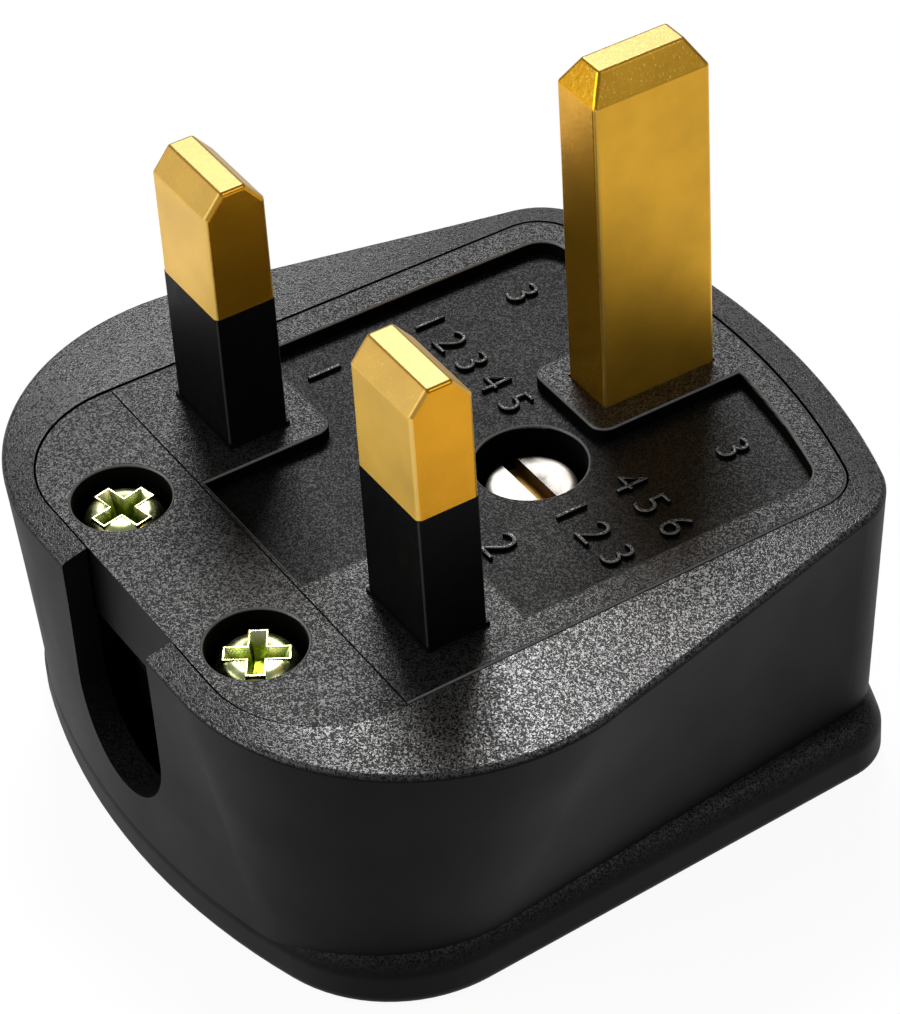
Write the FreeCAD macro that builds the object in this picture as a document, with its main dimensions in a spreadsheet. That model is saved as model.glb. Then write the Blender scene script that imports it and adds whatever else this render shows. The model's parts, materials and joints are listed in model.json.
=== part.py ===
import FreeCAD, Part
import math
import os
from types import SimpleNamespace

import Sketcher
from FreeCAD import Vector

# A rewirable three-pin mains plug, lying on its back with the pins pointing up.
# Lengths are in millimetres and tapers in degrees. X runs from the live pin to the neutral pin,
# Y from the cord entry to the earth pin, Z from the flat back to the pin tips.
# The origin is the middle of the plug's footprint on the surface it lies on.
SIZES = (
    ("body_thickness", 19.6, "flat back to pin face"),
    ("end_radius", 48.0, "sweep of the ends of the housing"),
    ("rim_side", 7.335, "rim beyond the side of the pin base"),
    ("rim_cord_end", 1.8, "rim beyond the cord end of the pin base"),
    ("rim_earth_end", 2.45, "rim beyond the earth end of the pin base"),
    ("face_taper", 14.0, "lean of each side of the face towards the earth end"),
    ("face_corner_radius", 15.7, "corners of the face at the cord end"),
    ("face_earth_corner_radius", 4.6, "corners of the face at the earth end"),
    ("rim_drop", 0.5, "fall of the rim from the seam to its outer edge"),
    ("rim_edge_radius", 0.35, "rounding of the outer edge of the rim"),
    ("waist_inset", 3.85, "walls just above the finger lip inside the rim, at the sides"),
    ("waist_taper", 4.6, "lean of each side at the waist"),
    ("waist_swell", 0.23, "waist beyond the rim at the cord end"),
    ("waist_earth_inset", 1.0, "waist inside the rim at the earth end"),
    ("waist_corner_radius", 10.5, "corners of the waist at the cord end"),
    ("waist_earth_corner_radius", 4.5, "corners of the waist at the earth end"),
    ("lip_overhang", 0.85, "finger lip beyond the waist, at the sides"),
    ("lip_cord_overhang", 0.06, "finger lip beyond the waist at the cord end"),
    ("lip_taper", 2.8, "lean of each side of the lip"),
    ("lip_earth_overhang", 0.3, "finger lip beyond the waist at the earth end"),
    ("lip_corner_radius", 9.5, "corners of the lip at the cord end"),
    ("lip_earth_corner_radius", 3.6, "corners of the lip at the earth end"),
    ("lip_height", 4.0, "height of the finger lip"),
    ("lip_radius", 1.8, "rounding of the top of the lip"),
    ("lip_foot_radius", 0.8, "rounding of the foot of the lip"),
    ("back_wall", 2.4, "thickness of the back of the cover"),
    ("ledge", 1.5, "shelf that carries the pin base"),
    ("seam_gap", 0.12, "gap round the pin base"),
    ("base_side", 6.1, "current pin to the side of the pin base"),
    ("base_taper", 0.7, "lean of each side of the pin base"),
    ("base_cord_reach", 13.25, "line of the current pins to the cord end of the base"),
    ("base_earth_end", 6.52, "earth pin to the earth end of the base"),
    ("base_end_radius", 50.0, "sweep of the earth end of the base"),
    ("base_corner_radius", 7.5, "corners of the base at the cord end"),
    ("base_earth_corner_radius", 3.0, "corners of the base at the earth end"),
    ("base_depth", 5.0, "thickness of the pin base"),
    ("base_edge_radius", 0.2, "rounding of the edges of the pin base"),
    ("slot_width", 10.0, "width of the cord entry"),
    ("slot_depth", 13.9, "depth of the cord entry below the face"),
    ("channel_width", 13.0, "room for the cord behind its entry"),
    ("recess_border", 2.2, "side of the pin base to the sunken panel of the face"),
    ("recess_cord_reach", 4.8, "line of the current pins to the cord side of the panel"),
    ("recess_earth_border", 1.85, "earth end of the base to the panel"),
    ("recess_corner_radius", 1.8, "corners of the panel"),
    ("recess_depth", 1.0, "depth of the panel"),
    ("strip_drop", 0.12, "step down from the pin pads to the cord grip strip"),
    ("strip_gap", 0.3, "panel to the edge of that strip"),
    ("hole_edge_radius", 0.2, "rounding of the screw holes"),
    ("live_pad_margin", 1.85, "pad of the live pin beyond the pin, towards the middle"),
    ("neutral_pad_margin", 2.75, "pad of the neutral pin beyond the pin, towards the middle"),
    ("line_pad_reach", 4.2, "line of the current pins to the earth side of their pads"),
    ("earth_pad_width", 7.6, "width of the pad of the earth pin"),
    ("earth_pad_reach", 5.63, "earth pin to the cord side of its pad"),
    ("pad_radius", 1.1, "corners of the pads"),
    ("line_pin_pitch", 22.23, "live pin to neutral pin"),
    ("earth_pin_pitch", 22.23, "line of the current pins to the earth pin"),
    ("line_pin_width", 6.35, "current pins across the plug"),
    ("line_pin_thickness", 4.0, "current pins along the plug"),
    ("line_pin_height", 18.1, "current pins above the face"),
    ("line_tip_height", 1.45, "height of the bevels of the current pins"),
    ("line_tip_inset", 1.2, "reach of the bevels of the current pins"),
    ("earth_pin_width", 4.0, "earth pin across the plug"),
    ("earth_pin_thickness", 8.0, "earth pin along the plug"),
    ("earth_pin_height", 23.2, "earth pin above the face"),
    ("earth_tip_height", 1.75, "height of the bevels of the earth pin"),
    ("earth_tip_taper", 31.0, "lean of the bevels of the earth pin"),
    ("pin_edge_radius", 0.3, "rounding of the edges of the pins"),
    ("pin_clearance", 0.04, "gap between a pin and its hole in the base"),
    ("sleeve_height", 9.5, "insulating sleeves above the face"),
    ("sleeve_root", 3.0, "insulating sleeves below the face"),
    ("sleeve_wall", 0.7, "wall of the insulating sleeves"),
    ("sleeve_clearance", 0.02, "gap between a sleeve and the neck of its pin"),
    ("sleeve_edge_radius", 0.18, "rounding of the edges of the sleeves"),
    ("sleeve_foot_height", 0.3, "collar at the foot of the sleeves"),
    ("sleeve_foot_overhang", 0.1, "collar beyond the sleeve"),
    ("block_depth", 7.2, "terminal blocks below the base"),
    ("earth_block_width", 7.0, "earth terminal block across the plug"),
    ("earth_block_length", 9.0, "earth terminal block along the plug"),
    ("neutral_block_width", 7.0, "neutral terminal block across the plug"),
    ("neutral_block_front", 3.2, "neutral pin to the cord side of its block"),
    ("neutral_block_back", 8.6, "neutral pin to the earth side of its block"),
    ("neutral_screw_reach", 4.6, "neutral pin to its terminal screw"),
    ("live_block_width", 4.6, "live terminal block across the plug"),
    ("live_block_length", 6.0, "live terminal block along the plug"),
    ("live_block_gap", 0.5, "fuse clip to the live terminal block"),
    ("live_block_reach", 11.5, "line of the current pins to the live terminal block"),
    ("wire_bore", 3.2, "bore for the conductor in the terminal blocks"),
    ("wire_bore_drop", 3.6, "underside of the base to the middle of the conductor bore"),
    ("wire_bore_end", 1.2, "metal left at the blind end of the conductor bore"),
    ("terminal_screw_diameter", 3.0, "shank of the terminal screws"),
    ("terminal_head_diameter", 4.0, "head of the terminal screws"),
    ("terminal_head_height", 1.8, "head height of the terminal screws"),
    ("terminal_slot_width", 0.8, "slot of the terminal screws"),
    ("terminal_slot_depth", 0.9, "slot depth of the terminal screws"),
    ("thread_clearance", 0.03, "gap between a screw and its thread"),
    ("fuse_length", 25.4, "cartridge fuse over its caps"),
    ("fuse_diameter", 6.35, "cartridge fuse over its caps, across"),
    ("fuse_room", 6.15, "earth end of the base to the fuse"),
    ("fuse_cap_length", 5.6, "fuse caps along the fuse"),
    ("fuse_cap_wall", 0.3, "metal of the fuse caps"),
    ("fuse_clearance", 0.03, "gap between fuse tube, caps and clips"),
    ("clip_metal", 0.5, "metal of the fuse clips"),
    ("clip_width", 5.0, "fuse clips along the fuse"),
    ("clip_mouth_angle", 100.0, "open part of the fuse clips"),
    ("clip_plate_width", 6.4, "flat of the fuse clips across the fuse"),
    ("rivet_diameter", 2.6, "riveted tail of the live pin"),
    ("clip_tongue_width", 4.4, "tongue of a fuse clip round that rivet"),
    ("cover_screw_x", 2.57, "middle of the plug to the cover screw"),
    ("cover_screw_reach", 12.48, "line of the current pins to the cover screw"),
    ("cover_screw_hole", 6.88, "hole over the cover screw"),
    ("cover_screw_drop", 1.6, "panel to the top of the cover screw"),
    ("cover_head_diameter", 5.6, "head of the cover screw"),
    ("cover_head_height", 1.9, "head height of the cover screw"),
    ("cover_screw_diameter", 3.5, "shank of the cover screw"),
    ("cover_slot_width", 1.1, "slot of the cover screw"),
    ("cover_slot_depth", 1.0, "slot depth of the cover screw"),
    ("screw_passage_gap", 0.2, "gap between a screw and its passage"),
    ("base_boss_diameter", 8.6, "boss of the base round the cover screw"),
    ("base_boss_height", 1.5, "boss of the base below its underside"),
    ("washer_diameter", 6.6, "keeper washer on the cover screw"),
    ("washer_thickness", 0.8, "keeper washer on the cover screw, thickness"),
    ("cover_boss_diameter", 8.4, "post of the cover under the cover screw"),
    ("nut_diameter", 5.4, "threaded insert of the cover"),
    ("nut_length", 6.0, "threaded insert of the cover, length"),
    ("cover_screw_end", 0.3, "end of the cover screw to the foot of the insert"),
    ("screw_head_radius", 0.5, "rounding of the cover and terminal screw heads"),
    ("grip_screw_pitch", 15.8, "cord grip screw to cord grip screw"),
    ("grip_screw_reach", 9.45, "line of the current pins to the cord grip screws"),
    ("grip_hole_diameter", 6.0, "hole over a cord grip screw"),
    ("grip_head_diameter", 4.8, "head of the cord grip screws"),
    ("grip_head_height", 2.0, "head height of the cord grip screws"),
    ("grip_head_radius", 1.0, "rounding of the cord grip screw heads"),
    ("grip_head_drop", 0.8, "face to the top of a cord grip screw"),
    ("grip_screw_diameter", 3.0, "shank of the cord grip screws"),
    ("grip_screw_end", 0.7, "cord grip screws below the bar"),
    ("grip_cross_length", 3.9, "arms of the cross recess"),
    ("grip_cross_width", 1.1, "width of the cross recess"),
    ("grip_cross_depth", 1.1, "depth of the cross recess"),
    ("grip_bar_length", 21.0, "cord grip bar across the plug"),
    ("grip_bar_width", 3.8, "cord grip bar along the plug"),
    ("grip_bar_depth", 3.0, "cord grip bar, thickness at its ends"),
    ("grip_bar_drop", 9.8, "face to the cord side of the bar"),
    ("grip_saddle_width", 9.0, "hollow of the bar under the cord"),
    ("grip_saddle_depth", 0.8, "depth of that hollow"),
    ("grip_rim", 0.3, "bar above the level of the clamped cord"),
)
LEVEL_TOLERANCE = 1e-4
# A cut that ends in the open runs on to this many times the length it has to clear.
OVERRUN = 2


class Size:
    """A number that remembers the sheet formula it comes from."""

    def __init__(self, formula, number):
        self.formula = formula
        self.number = number

    def __add__(self, other):
        other = as_size(other)
        return Size(f"({self.formula} + {other.formula})", self.number + other.number)

    def __sub__(self, other):
        other = as_size(other)
        return Size(f"({self.formula} - {other.formula})", self.number - other.number)

    def __mul__(self, other):
        other = as_size(other)
        return Size(f"({self.formula} * {other.formula})", self.number * other.number)

    def __truediv__(self, other):
        other = as_size(other)
        return Size(f"({self.formula} / {other.formula})", self.number / other.number)

    def __neg__(self):
        return Size(f"(-1 * {self.formula})", -self.number)


def as_size(value):
    if isinstance(value, Size):
        return value
    return Size(str(value), value)


doc = FreeCAD.newDocument("plug")
sheet = doc.addObject("Spreadsheet::Sheet", "Sizes")
for row, (alias, number, note) in enumerate(SIZES, start=1):
    sheet.set(f"A{row}", note)
    sheet.set(f"B{row}", str(number))
    sheet.setAlias(f"B{row}", alias)
doc.recompute()
size = SimpleNamespace()
for alias, number, note in SIZES:
    setattr(size, alias, Size(f"Sizes.{alias}", float(sheet.get(alias))))

# The outlines follow the pins: the base lies round them, then come the rim, the waist and the lip.
base_width = size.line_pin_pitch + size.base_side * 2
face_width = base_width + size.rim_side * 2
waist_width = face_width - size.waist_inset * 2
lip_width = waist_width + size.lip_overhang * 2
recess_width = base_width - size.recess_border * 2
base_earth_reach = size.earth_pin_pitch + size.base_earth_end
earth_reach = base_earth_reach + size.rim_earth_end
waist_earth_reach = earth_reach - size.waist_earth_inset
lip_earth_reach = waist_earth_reach + size.lip_earth_overhang
recess_earth_reach = base_earth_reach - size.recess_earth_border
cord_reach = size.base_cord_reach + size.rim_cord_end
waist_cord_reach = cord_reach + size.waist_swell
lip_cord_reach = waist_cord_reach + size.lip_cord_overhang

# Levels and lines that several pieces share.
pin_line = (lip_cord_reach - earth_reach) / 2
face_level = size.body_thickness
rim_level = face_level - size.rim_drop
panel_level = face_level - size.recess_depth
base_level = face_level - size.base_depth
block_level = base_level - size.block_depth
bore_level = base_level - size.wire_bore_drop
earth_pin_y = pin_line + size.earth_pin_pitch
neutral_x = size.line_pin_pitch / 2
live_x = -neutral_x
cover_screw_y = pin_line + size.cover_screw_reach
cover_head_level = panel_level - size.cover_screw_drop
cover_seat_level = cover_head_level - size.cover_head_height
washer_level = base_level - size.base_boss_height - size.washer_thickness
grip_screw_x = size.grip_screw_pitch / 2
grip_screw_y = pin_line - size.grip_screw_reach
grip_head_level = face_level - size.grip_head_drop
grip_seat_level = grip_head_level - size.grip_head_height
grip_bar_level = face_level - size.grip_bar_drop
grip_foot_level = grip_bar_level - size.grip_bar_depth
fuse_radius = size.fuse_diameter / 2
clip_radius = fuse_radius + size.fuse_clearance
fuse_level = base_level - size.clip_metal - clip_radius
fuse_end = pin_line + base_earth_reach - size.fuse_room
fuse_start = fuse_end - size.fuse_length
strip_level = face_level - size.strip_drop
nut_level = washer_level - size.nut_length
live_block_y = pin_line + size.live_block_reach
live_block_x = live_x + clip_radius + size.clip_metal + size.live_block_gap + size.live_block_width / 2
live_block_level = base_level - size.clip_metal - size.block_depth
live_bore_level = bore_level - size.clip_metal


def new_body(label):
    body = doc.addObject("PartDesign::Body", label)
    body.Label = label
    return body


def place(piece, x=None, y=None, z=None):
    for axis, distance in (("x", x), ("y", y), ("z", z)):
        if distance is not None:
            piece.setExpression(f"Placement.Base.{axis}", distance.formula)


def new_sketch(body, offset=None, role="XY_Plane"):
    """A sketch on one of the body's origin planes, moved along the plane's normal."""
    plane = next(item for item in body.Origin.OriginFeatures if item.Role == role)
    sketch = body.newObject("Sketcher::SketchObject", "Sketch")
    sketch.AttachmentSupport = [(plane, "")]
    sketch.MapMode = "FlatFace"
    if offset is not None:
        sketch.setExpression("AttachmentOffset.Base.z", offset.formula)
    return sketch


def bind(sketch, kind, *elements, to):
    """A dimension of the sketch that follows the sheet."""
    number = math.radians(to.number) if kind == "Angle" else to.number
    index = sketch.addConstraint(Sketcher.Constraint(kind, *elements, number))
    sketch.setExpression(f"Constraints[{index}]", to.formula)


def join(sketch, first, second):
    sketch.addConstraint(Sketcher.Constraint("Coincident", first, 2, second, 1))


def blend(sketch, first, second):
    sketch.addConstraint(Sketcher.Constraint("Tangent", first, 2, second, 1))


def add_line(sketch, start, end):
    return sketch.addGeometry(Part.LineSegment(Vector(*start, 0), Vector(*end, 0)))


def add_arc(sketch, centre, radius, start, end):
    """A counter-clockwise arc between two angles in radians."""
    circle = Part.Circle(Vector(*centre, 0), Vector(0, 0, 1), radius)
    return sketch.addGeometry(Part.ArcOfCircle(circle, start, end))


def polygon(sketch, corners):
    """A closed outline of straight edges, each corner set by its two distances from the origin."""
    points = [(x.number, y.number) for x, y in corners]
    following = points[1:] + points[:1]
    edges = [add_line(sketch, start, end) for start, end in zip(points, following)]
    for edge, after in zip(edges, edges[1:] + edges[:1]):
        join(sketch, edge, after)
    for edge, (x, y) in zip(edges, corners):
        bind(sketch, "DistanceX", -1, 1, edge, 1, to=x)
        bind(sketch, "DistanceY", -1, 1, edge, 1, to=y)
    return sketch


def rectangle(sketch, left, bottom, right, top):
    return polygon(sketch, ((left, bottom), (right, bottom), (right, top), (left, top)))


def centred_rectangle(sketch, width, length):
    return rectangle(sketch, -width / 2, -length / 2, width / 2, length / 2)


def rounded_rectangle(sketch, left, bottom, right, top, radius):
    """A rectangle with four equal round corners."""
    x0, y0, x1, y1 = left.number, bottom.number, right.number, top.number
    r = radius.number
    quarter = math.pi / 2
    edges = [
        add_line(sketch, (x0 + r, y0), (x1 - r, y0)),
        add_arc(sketch, (x1 - r, y0 + r), r, -quarter, 0),
        add_line(sketch, (x1, y0 + r), (x1, y1 - r)),
        add_arc(sketch, (x1 - r, y1 - r), r, 0, quarter),
        add_line(sketch, (x1 - r, y1), (x0 + r, y1)),
        add_arc(sketch, (x0 + r, y1 - r), r, quarter, 2 * quarter),
        add_line(sketch, (x0, y1 - r), (x0, y0 + r)),
        add_arc(sketch, (x0 + r, y0 + r), r, 2 * quarter, 3 * quarter),
    ]
    for edge, after in zip(edges, edges[1:] + edges[:1]):
        blend(sketch, edge, after)
    for edge in (edges[0], edges[4]):
        sketch.addConstraint(Sketcher.Constraint("Horizontal", edge))
    for edge in (edges[2], edges[6]):
        sketch.addConstraint(Sketcher.Constraint("Vertical", edge))
    for corner in edges[1::2]:
        bind(sketch, "Radius", corner, to=radius)
    bind(sketch, "DistanceY", -1, 1, edges[0], 1, to=bottom)
    bind(sketch, "DistanceX", -1, 1, edges[2], 1, to=right)
    bind(sketch, "DistanceY", -1, 1, edges[4], 1, to=top)
    bind(sketch, "DistanceX", -1, 1, edges[6], 1, to=left)
    return sketch


def circle(sketch, diameter, x=None, y=None):
    """A circle about the origin, or moved off it along either axis."""
    centre = Vector(x.number if x else 0, y.number if y else 0, 0)
    ring = sketch.addGeometry(Part.Circle(centre, Vector(0, 0, 1), diameter.number / 2))
    bind(sketch, "Diameter", ring, to=diameter)
    if x:
        bind(sketch, "DistanceX", -1, 1, ring, 3, to=x)
    else:
        sketch.addConstraint(Sketcher.Constraint("PointOnObject", ring, 3, -2))
    if y:
        bind(sketch, "DistanceY", -1, 1, ring, 3, to=y)
    else:
        sketch.addConstraint(Sketcher.Constraint("PointOnObject", ring, 3, -1))
    return sketch


def shield(sketch, width, cord_reach, earth_reach, taper, corner, earth_corner, end_radius, cord_radius=None):
    """The plug's outline: a straight or swept cord end, two leaning sides and a swept earth end."""
    cord_y = pin_line - cord_reach
    end_y = pin_line + earth_reach - end_radius
    corner_x = width / 2 - corner
    lean = math.radians(taper.number)
    outward = (math.cos(lean), math.sin(lean))
    along = (-math.sin(lean), math.cos(lean))
    centre_y = cord_y.number + corner.number
    if cord_radius:
        cord_centre = cord_y + cord_radius
        corner_reach = cord_radius.number - corner.number
        centre_y = cord_centre.number - math.sqrt(corner_reach ** 2 - corner_x.number ** 2)
    centre = (corner_x.number, centre_y)
    side_start = tuple(c + corner.number * n for c, n in zip(centre, outward))

    # The corner at the earth end touches both the side and the sweep from inside.
    inner = tuple(s - earth_corner.number * n for s, n in zip(side_start, outward))
    gap = (inner[0], inner[1] - end_y.number)
    reach = end_radius.number - earth_corner.number
    half = gap[0] * along[0] + gap[1] * along[1]
    travel = -half + math.sqrt(half ** 2 - gap[0] ** 2 - gap[1] ** 2 + reach ** 2)
    earth_centre = tuple(p + travel * a for p, a in zip(inner, along))
    side_end = tuple(c + earth_corner.number * n for c, n in zip(earth_centre, outward))
    sweep = math.atan2(earth_centre[1] - end_y.number, earth_centre[0])

    # The cord end meets its corners straight below them, or aslant where it is swept.
    down = -math.pi / 2
    left_earth_centre = (-earth_centre[0], earth_centre[1])
    if cord_radius:
        down = math.atan2(centre_y - cord_centre.number, centre[0])
        cord_edge = add_arc(sketch, (0, cord_centre.number), cord_radius.number, -math.pi - down, down)
    else:
        cord_edge = add_line(sketch, (-centre[0], cord_y.number), (centre[0], cord_y.number))
    edges = [
        cord_edge,
        add_arc(sketch, centre, corner.number, down, lean),
        add_line(sketch, side_start, side_end),
        add_arc(sketch, earth_centre, earth_corner.number, lean, sweep),
        add_arc(sketch, (0, end_y.number), end_radius.number, sweep, math.pi - sweep),
        add_arc(sketch, left_earth_centre, earth_corner.number, math.pi - sweep, math.pi - lean),
        add_line(sketch, (-side_end[0], side_end[1]), (-side_start[0], side_start[1])),
        add_arc(sketch, (-centre[0], centre[1]), corner.number, math.pi - lean, math.pi - down),
    ]
    for edge, after in zip(edges, edges[1:] + edges[:1]):
        blend(sketch, edge, after)
    right_corner, right_side, right_end, end_arc, left_end, left_side, left_corner = edges[1:]
    if cord_radius:
        sketch.addConstraint(Sketcher.Constraint("PointOnObject", cord_edge, 3, -2))
        bind(sketch, "DistanceY", -1, 1, cord_edge, 3, to=cord_centre)
        bind(sketch, "Radius", cord_edge, to=cord_radius)
    else:
        sketch.addConstraint(Sketcher.Constraint("Horizontal", cord_edge))
        bind(sketch, "DistanceY", -1, 1, cord_edge, 1, to=cord_y)
    bind(sketch, "DistanceX", -1, 1, right_corner, 3, to=corner_x)
    bind(sketch, "DistanceX", -1, 1, left_corner, 3, to=-corner_x)
    bind(sketch, "Angle", right_side, to=taper + 90)
    bind(sketch, "Angle", left_side, to=-taper - 90)
    bind(sketch, "Radius", right_corner, to=corner)
    bind(sketch, "Radius", left_corner, to=corner)
    bind(sketch, "Radius", right_end, to=earth_corner)
    bind(sketch, "Radius", left_end, to=earth_corner)
    bind(sketch, "Radius", end_arc, to=end_radius)
    sketch.addConstraint(Sketcher.Constraint("PointOnObject", end_arc, 3, -2))
    bind(sketch, "DistanceY", -1, 1, end_arc, 3, to=end_y)
    return sketch


def pad(body, sketch, length, taper=None, reverse=False):
    feature = body.newObject("PartDesign::Pad", "Pad")
    feature.Profile = sketch
    feature.Reversed = reverse
    feature.setExpression("Length", length.formula)
    if taper is not None:
        feature.setExpression("TaperAngle", taper.formula)
    return feature


def pocket(body, sketch, depth, reverse=False):
    feature = body.newObject("PartDesign::Pocket", "Pocket")
    feature.Profile = sketch
    feature.Reversed = reverse
    feature.setExpression("Length", depth.formula)
    return feature


def loft(body, lower, upper):
    feature = body.newObject("PartDesign::AdditiveLoft", "Loft")
    feature.Profile = lower
    feature.Sections = [upper]
    feature.Ruled = True
    return feature


def edges_on_level(shape, level):
    """Names of the edges that lie flat at one height."""
    names = []
    for index, edge in enumerate(shape.Edges, start=1):
        heights = [point.z for point in edge.discretize(5)]
        if max(abs(height - level.number) for height in heights) < LEVEL_TOLERANCE:
            names.append(f"Edge{index}")
    return names


def edges_above(shape, level):
    """Names of the edges that stand or lie higher than one height."""
    names = []
    for index, edge in enumerate(shape.Edges, start=1):
        middle = edge.discretize(3)[1]
        if middle.z > level.number + LEVEL_TOLERANCE:
            names.append(f"Edge{index}")
    return names


def rings_on_level(shape, level, diameter):
    """Names of the full circles of one size at one height."""
    flat = edges_on_level(shape, level)
    names = []
    for name in flat:
        edge = shape.Edges[int(name[4:]) - 1]
        if abs(edge.Length - math.pi * diameter.number) < LEVEL_TOLERANCE * edge.Length:
            names.append(name)
    return names


def round_edges(body, names, radius):
    carrier = body.Tip
    feature = body.newObject("PartDesign::Fillet", "Fillet")
    feature.Base = (carrier, names)
    feature.setExpression("Radius", radius.formula)
    return feature


def base_outline(sketch, grow):
    """The outline of the pin base, grown or shrunk evenly."""
    return shield(
        sketch,
        base_width + grow * 2,
        size.base_cord_reach + grow,
        base_earth_reach + grow,
        size.base_taper,
        size.base_corner_radius + grow,
        size.base_earth_corner_radius + grow,
        size.base_end_radius + grow,
    )


def face_outline(sketch):
    return shield(
        sketch,
        face_width,
        cord_reach,
        earth_reach,
        size.face_taper,
        size.face_corner_radius,
        size.face_earth_corner_radius,
        size.end_radius,
    )


def waist_outline(sketch):
    return shield(
        sketch,
        waist_width,
        waist_cord_reach,
        waist_earth_reach,
        size.waist_taper,
        size.waist_corner_radius,
        size.waist_earth_corner_radius,
        size.end_radius,
        size.end_radius,
    )


def lip_outline(sketch):
    return shield(
        sketch,
        lip_width,
        lip_cord_reach,
        lip_earth_reach,
        size.lip_taper,
        size.lip_corner_radius,
        size.lip_earth_corner_radius,
        size.end_radius,
        size.end_radius,
    )


def cord_entry(sketch):
    """A slot with a round bottom, open at the face."""
    half = size.slot_width / 2
    foot = face_level - size.slot_depth + half
    top = face_level + size.rim_drop
    right = half.number
    edges = [
        add_line(sketch, (-right, top.number), (-right, foot.number)),
        add_arc(sketch, (0, foot.number), right, math.pi, 2 * math.pi),
        add_line(sketch, (right, foot.number), (right, top.number)),
        add_line(sketch, (right, top.number), (-right, top.number)),
    ]
    left_side, round_end, right_side, mouth = edges
    blend(sketch, left_side, round_end)
    blend(sketch, round_end, right_side)
    join(sketch, right_side, mouth)
    join(sketch, mouth, left_side)
    for side in (left_side, right_side):
        sketch.addConstraint(Sketcher.Constraint("Vertical", side))
    sketch.addConstraint(Sketcher.Constraint("Horizontal", mouth))
    sketch.addConstraint(Sketcher.Constraint("PointOnObject", round_end, 3, -2))
    bind(sketch, "DistanceY", -1, 1, round_end, 3, to=foot)
    bind(sketch, "DistanceY", -1, 1, mouth, 1, to=top)
    bind(sketch, "Radius", round_end, to=half)
    return sketch


def make_rear_cover():
    """The moulded housing: leaning walls, rounded finger lip, sloping rim, cord entry and post."""
    body = new_body("rear_cover")
    pad(body, lip_outline(new_sketch(body)), size.lip_height)
    doc.recompute()
    round_edges(body, edges_on_level(body.Shape, size.lip_height), size.lip_radius)
    doc.recompute()
    round_edges(body, edges_on_level(body.Shape, as_size(0)), size.lip_foot_radius)
    waist = waist_outline(new_sketch(body, size.lip_height - size.lip_radius))
    rim_edge = face_outline(new_sketch(body, rim_level))
    loft(body, waist, rim_edge)
    rim_top = base_outline(new_sketch(body, face_level), -size.seam_gap)
    loft(body, rim_edge, rim_top)
    doc.recompute()
    round_edges(body, edges_on_level(body.Shape, rim_level), size.rim_edge_radius)

    pocket(body, base_outline(new_sketch(body, face_level), size.seam_gap), size.base_depth)
    cavity = base_outline(new_sketch(body, base_level), -size.ledge)
    pocket(body, cavity, base_level - size.back_wall)
    half_channel = size.channel_width / 2
    channel_start = pin_line - size.base_cord_reach
    channel_end = channel_start + size.ledge * OVERRUN
    channel = rectangle(new_sketch(body, base_level), -half_channel, channel_start, half_channel, channel_end)
    pocket(body, channel, base_level - size.back_wall)
    entry = cord_entry(new_sketch(body, -channel_end, "XZ_Plane"))
    pocket(body, entry, channel_end - pin_line + lip_cord_reach + size.ledge, reverse=True)

    post = new_sketch(body, size.back_wall)
    circle(post, size.cover_boss_diameter, size.cover_screw_x, cover_screw_y)
    pad(body, post, washer_level - size.back_wall)
    nut_seat = circle(
        new_sketch(body, washer_level),
        size.nut_diameter + size.thread_clearance * 2,
        size.cover_screw_x,
        cover_screw_y,
    )
    pocket(body, nut_seat, size.nut_length)
    return body


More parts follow.
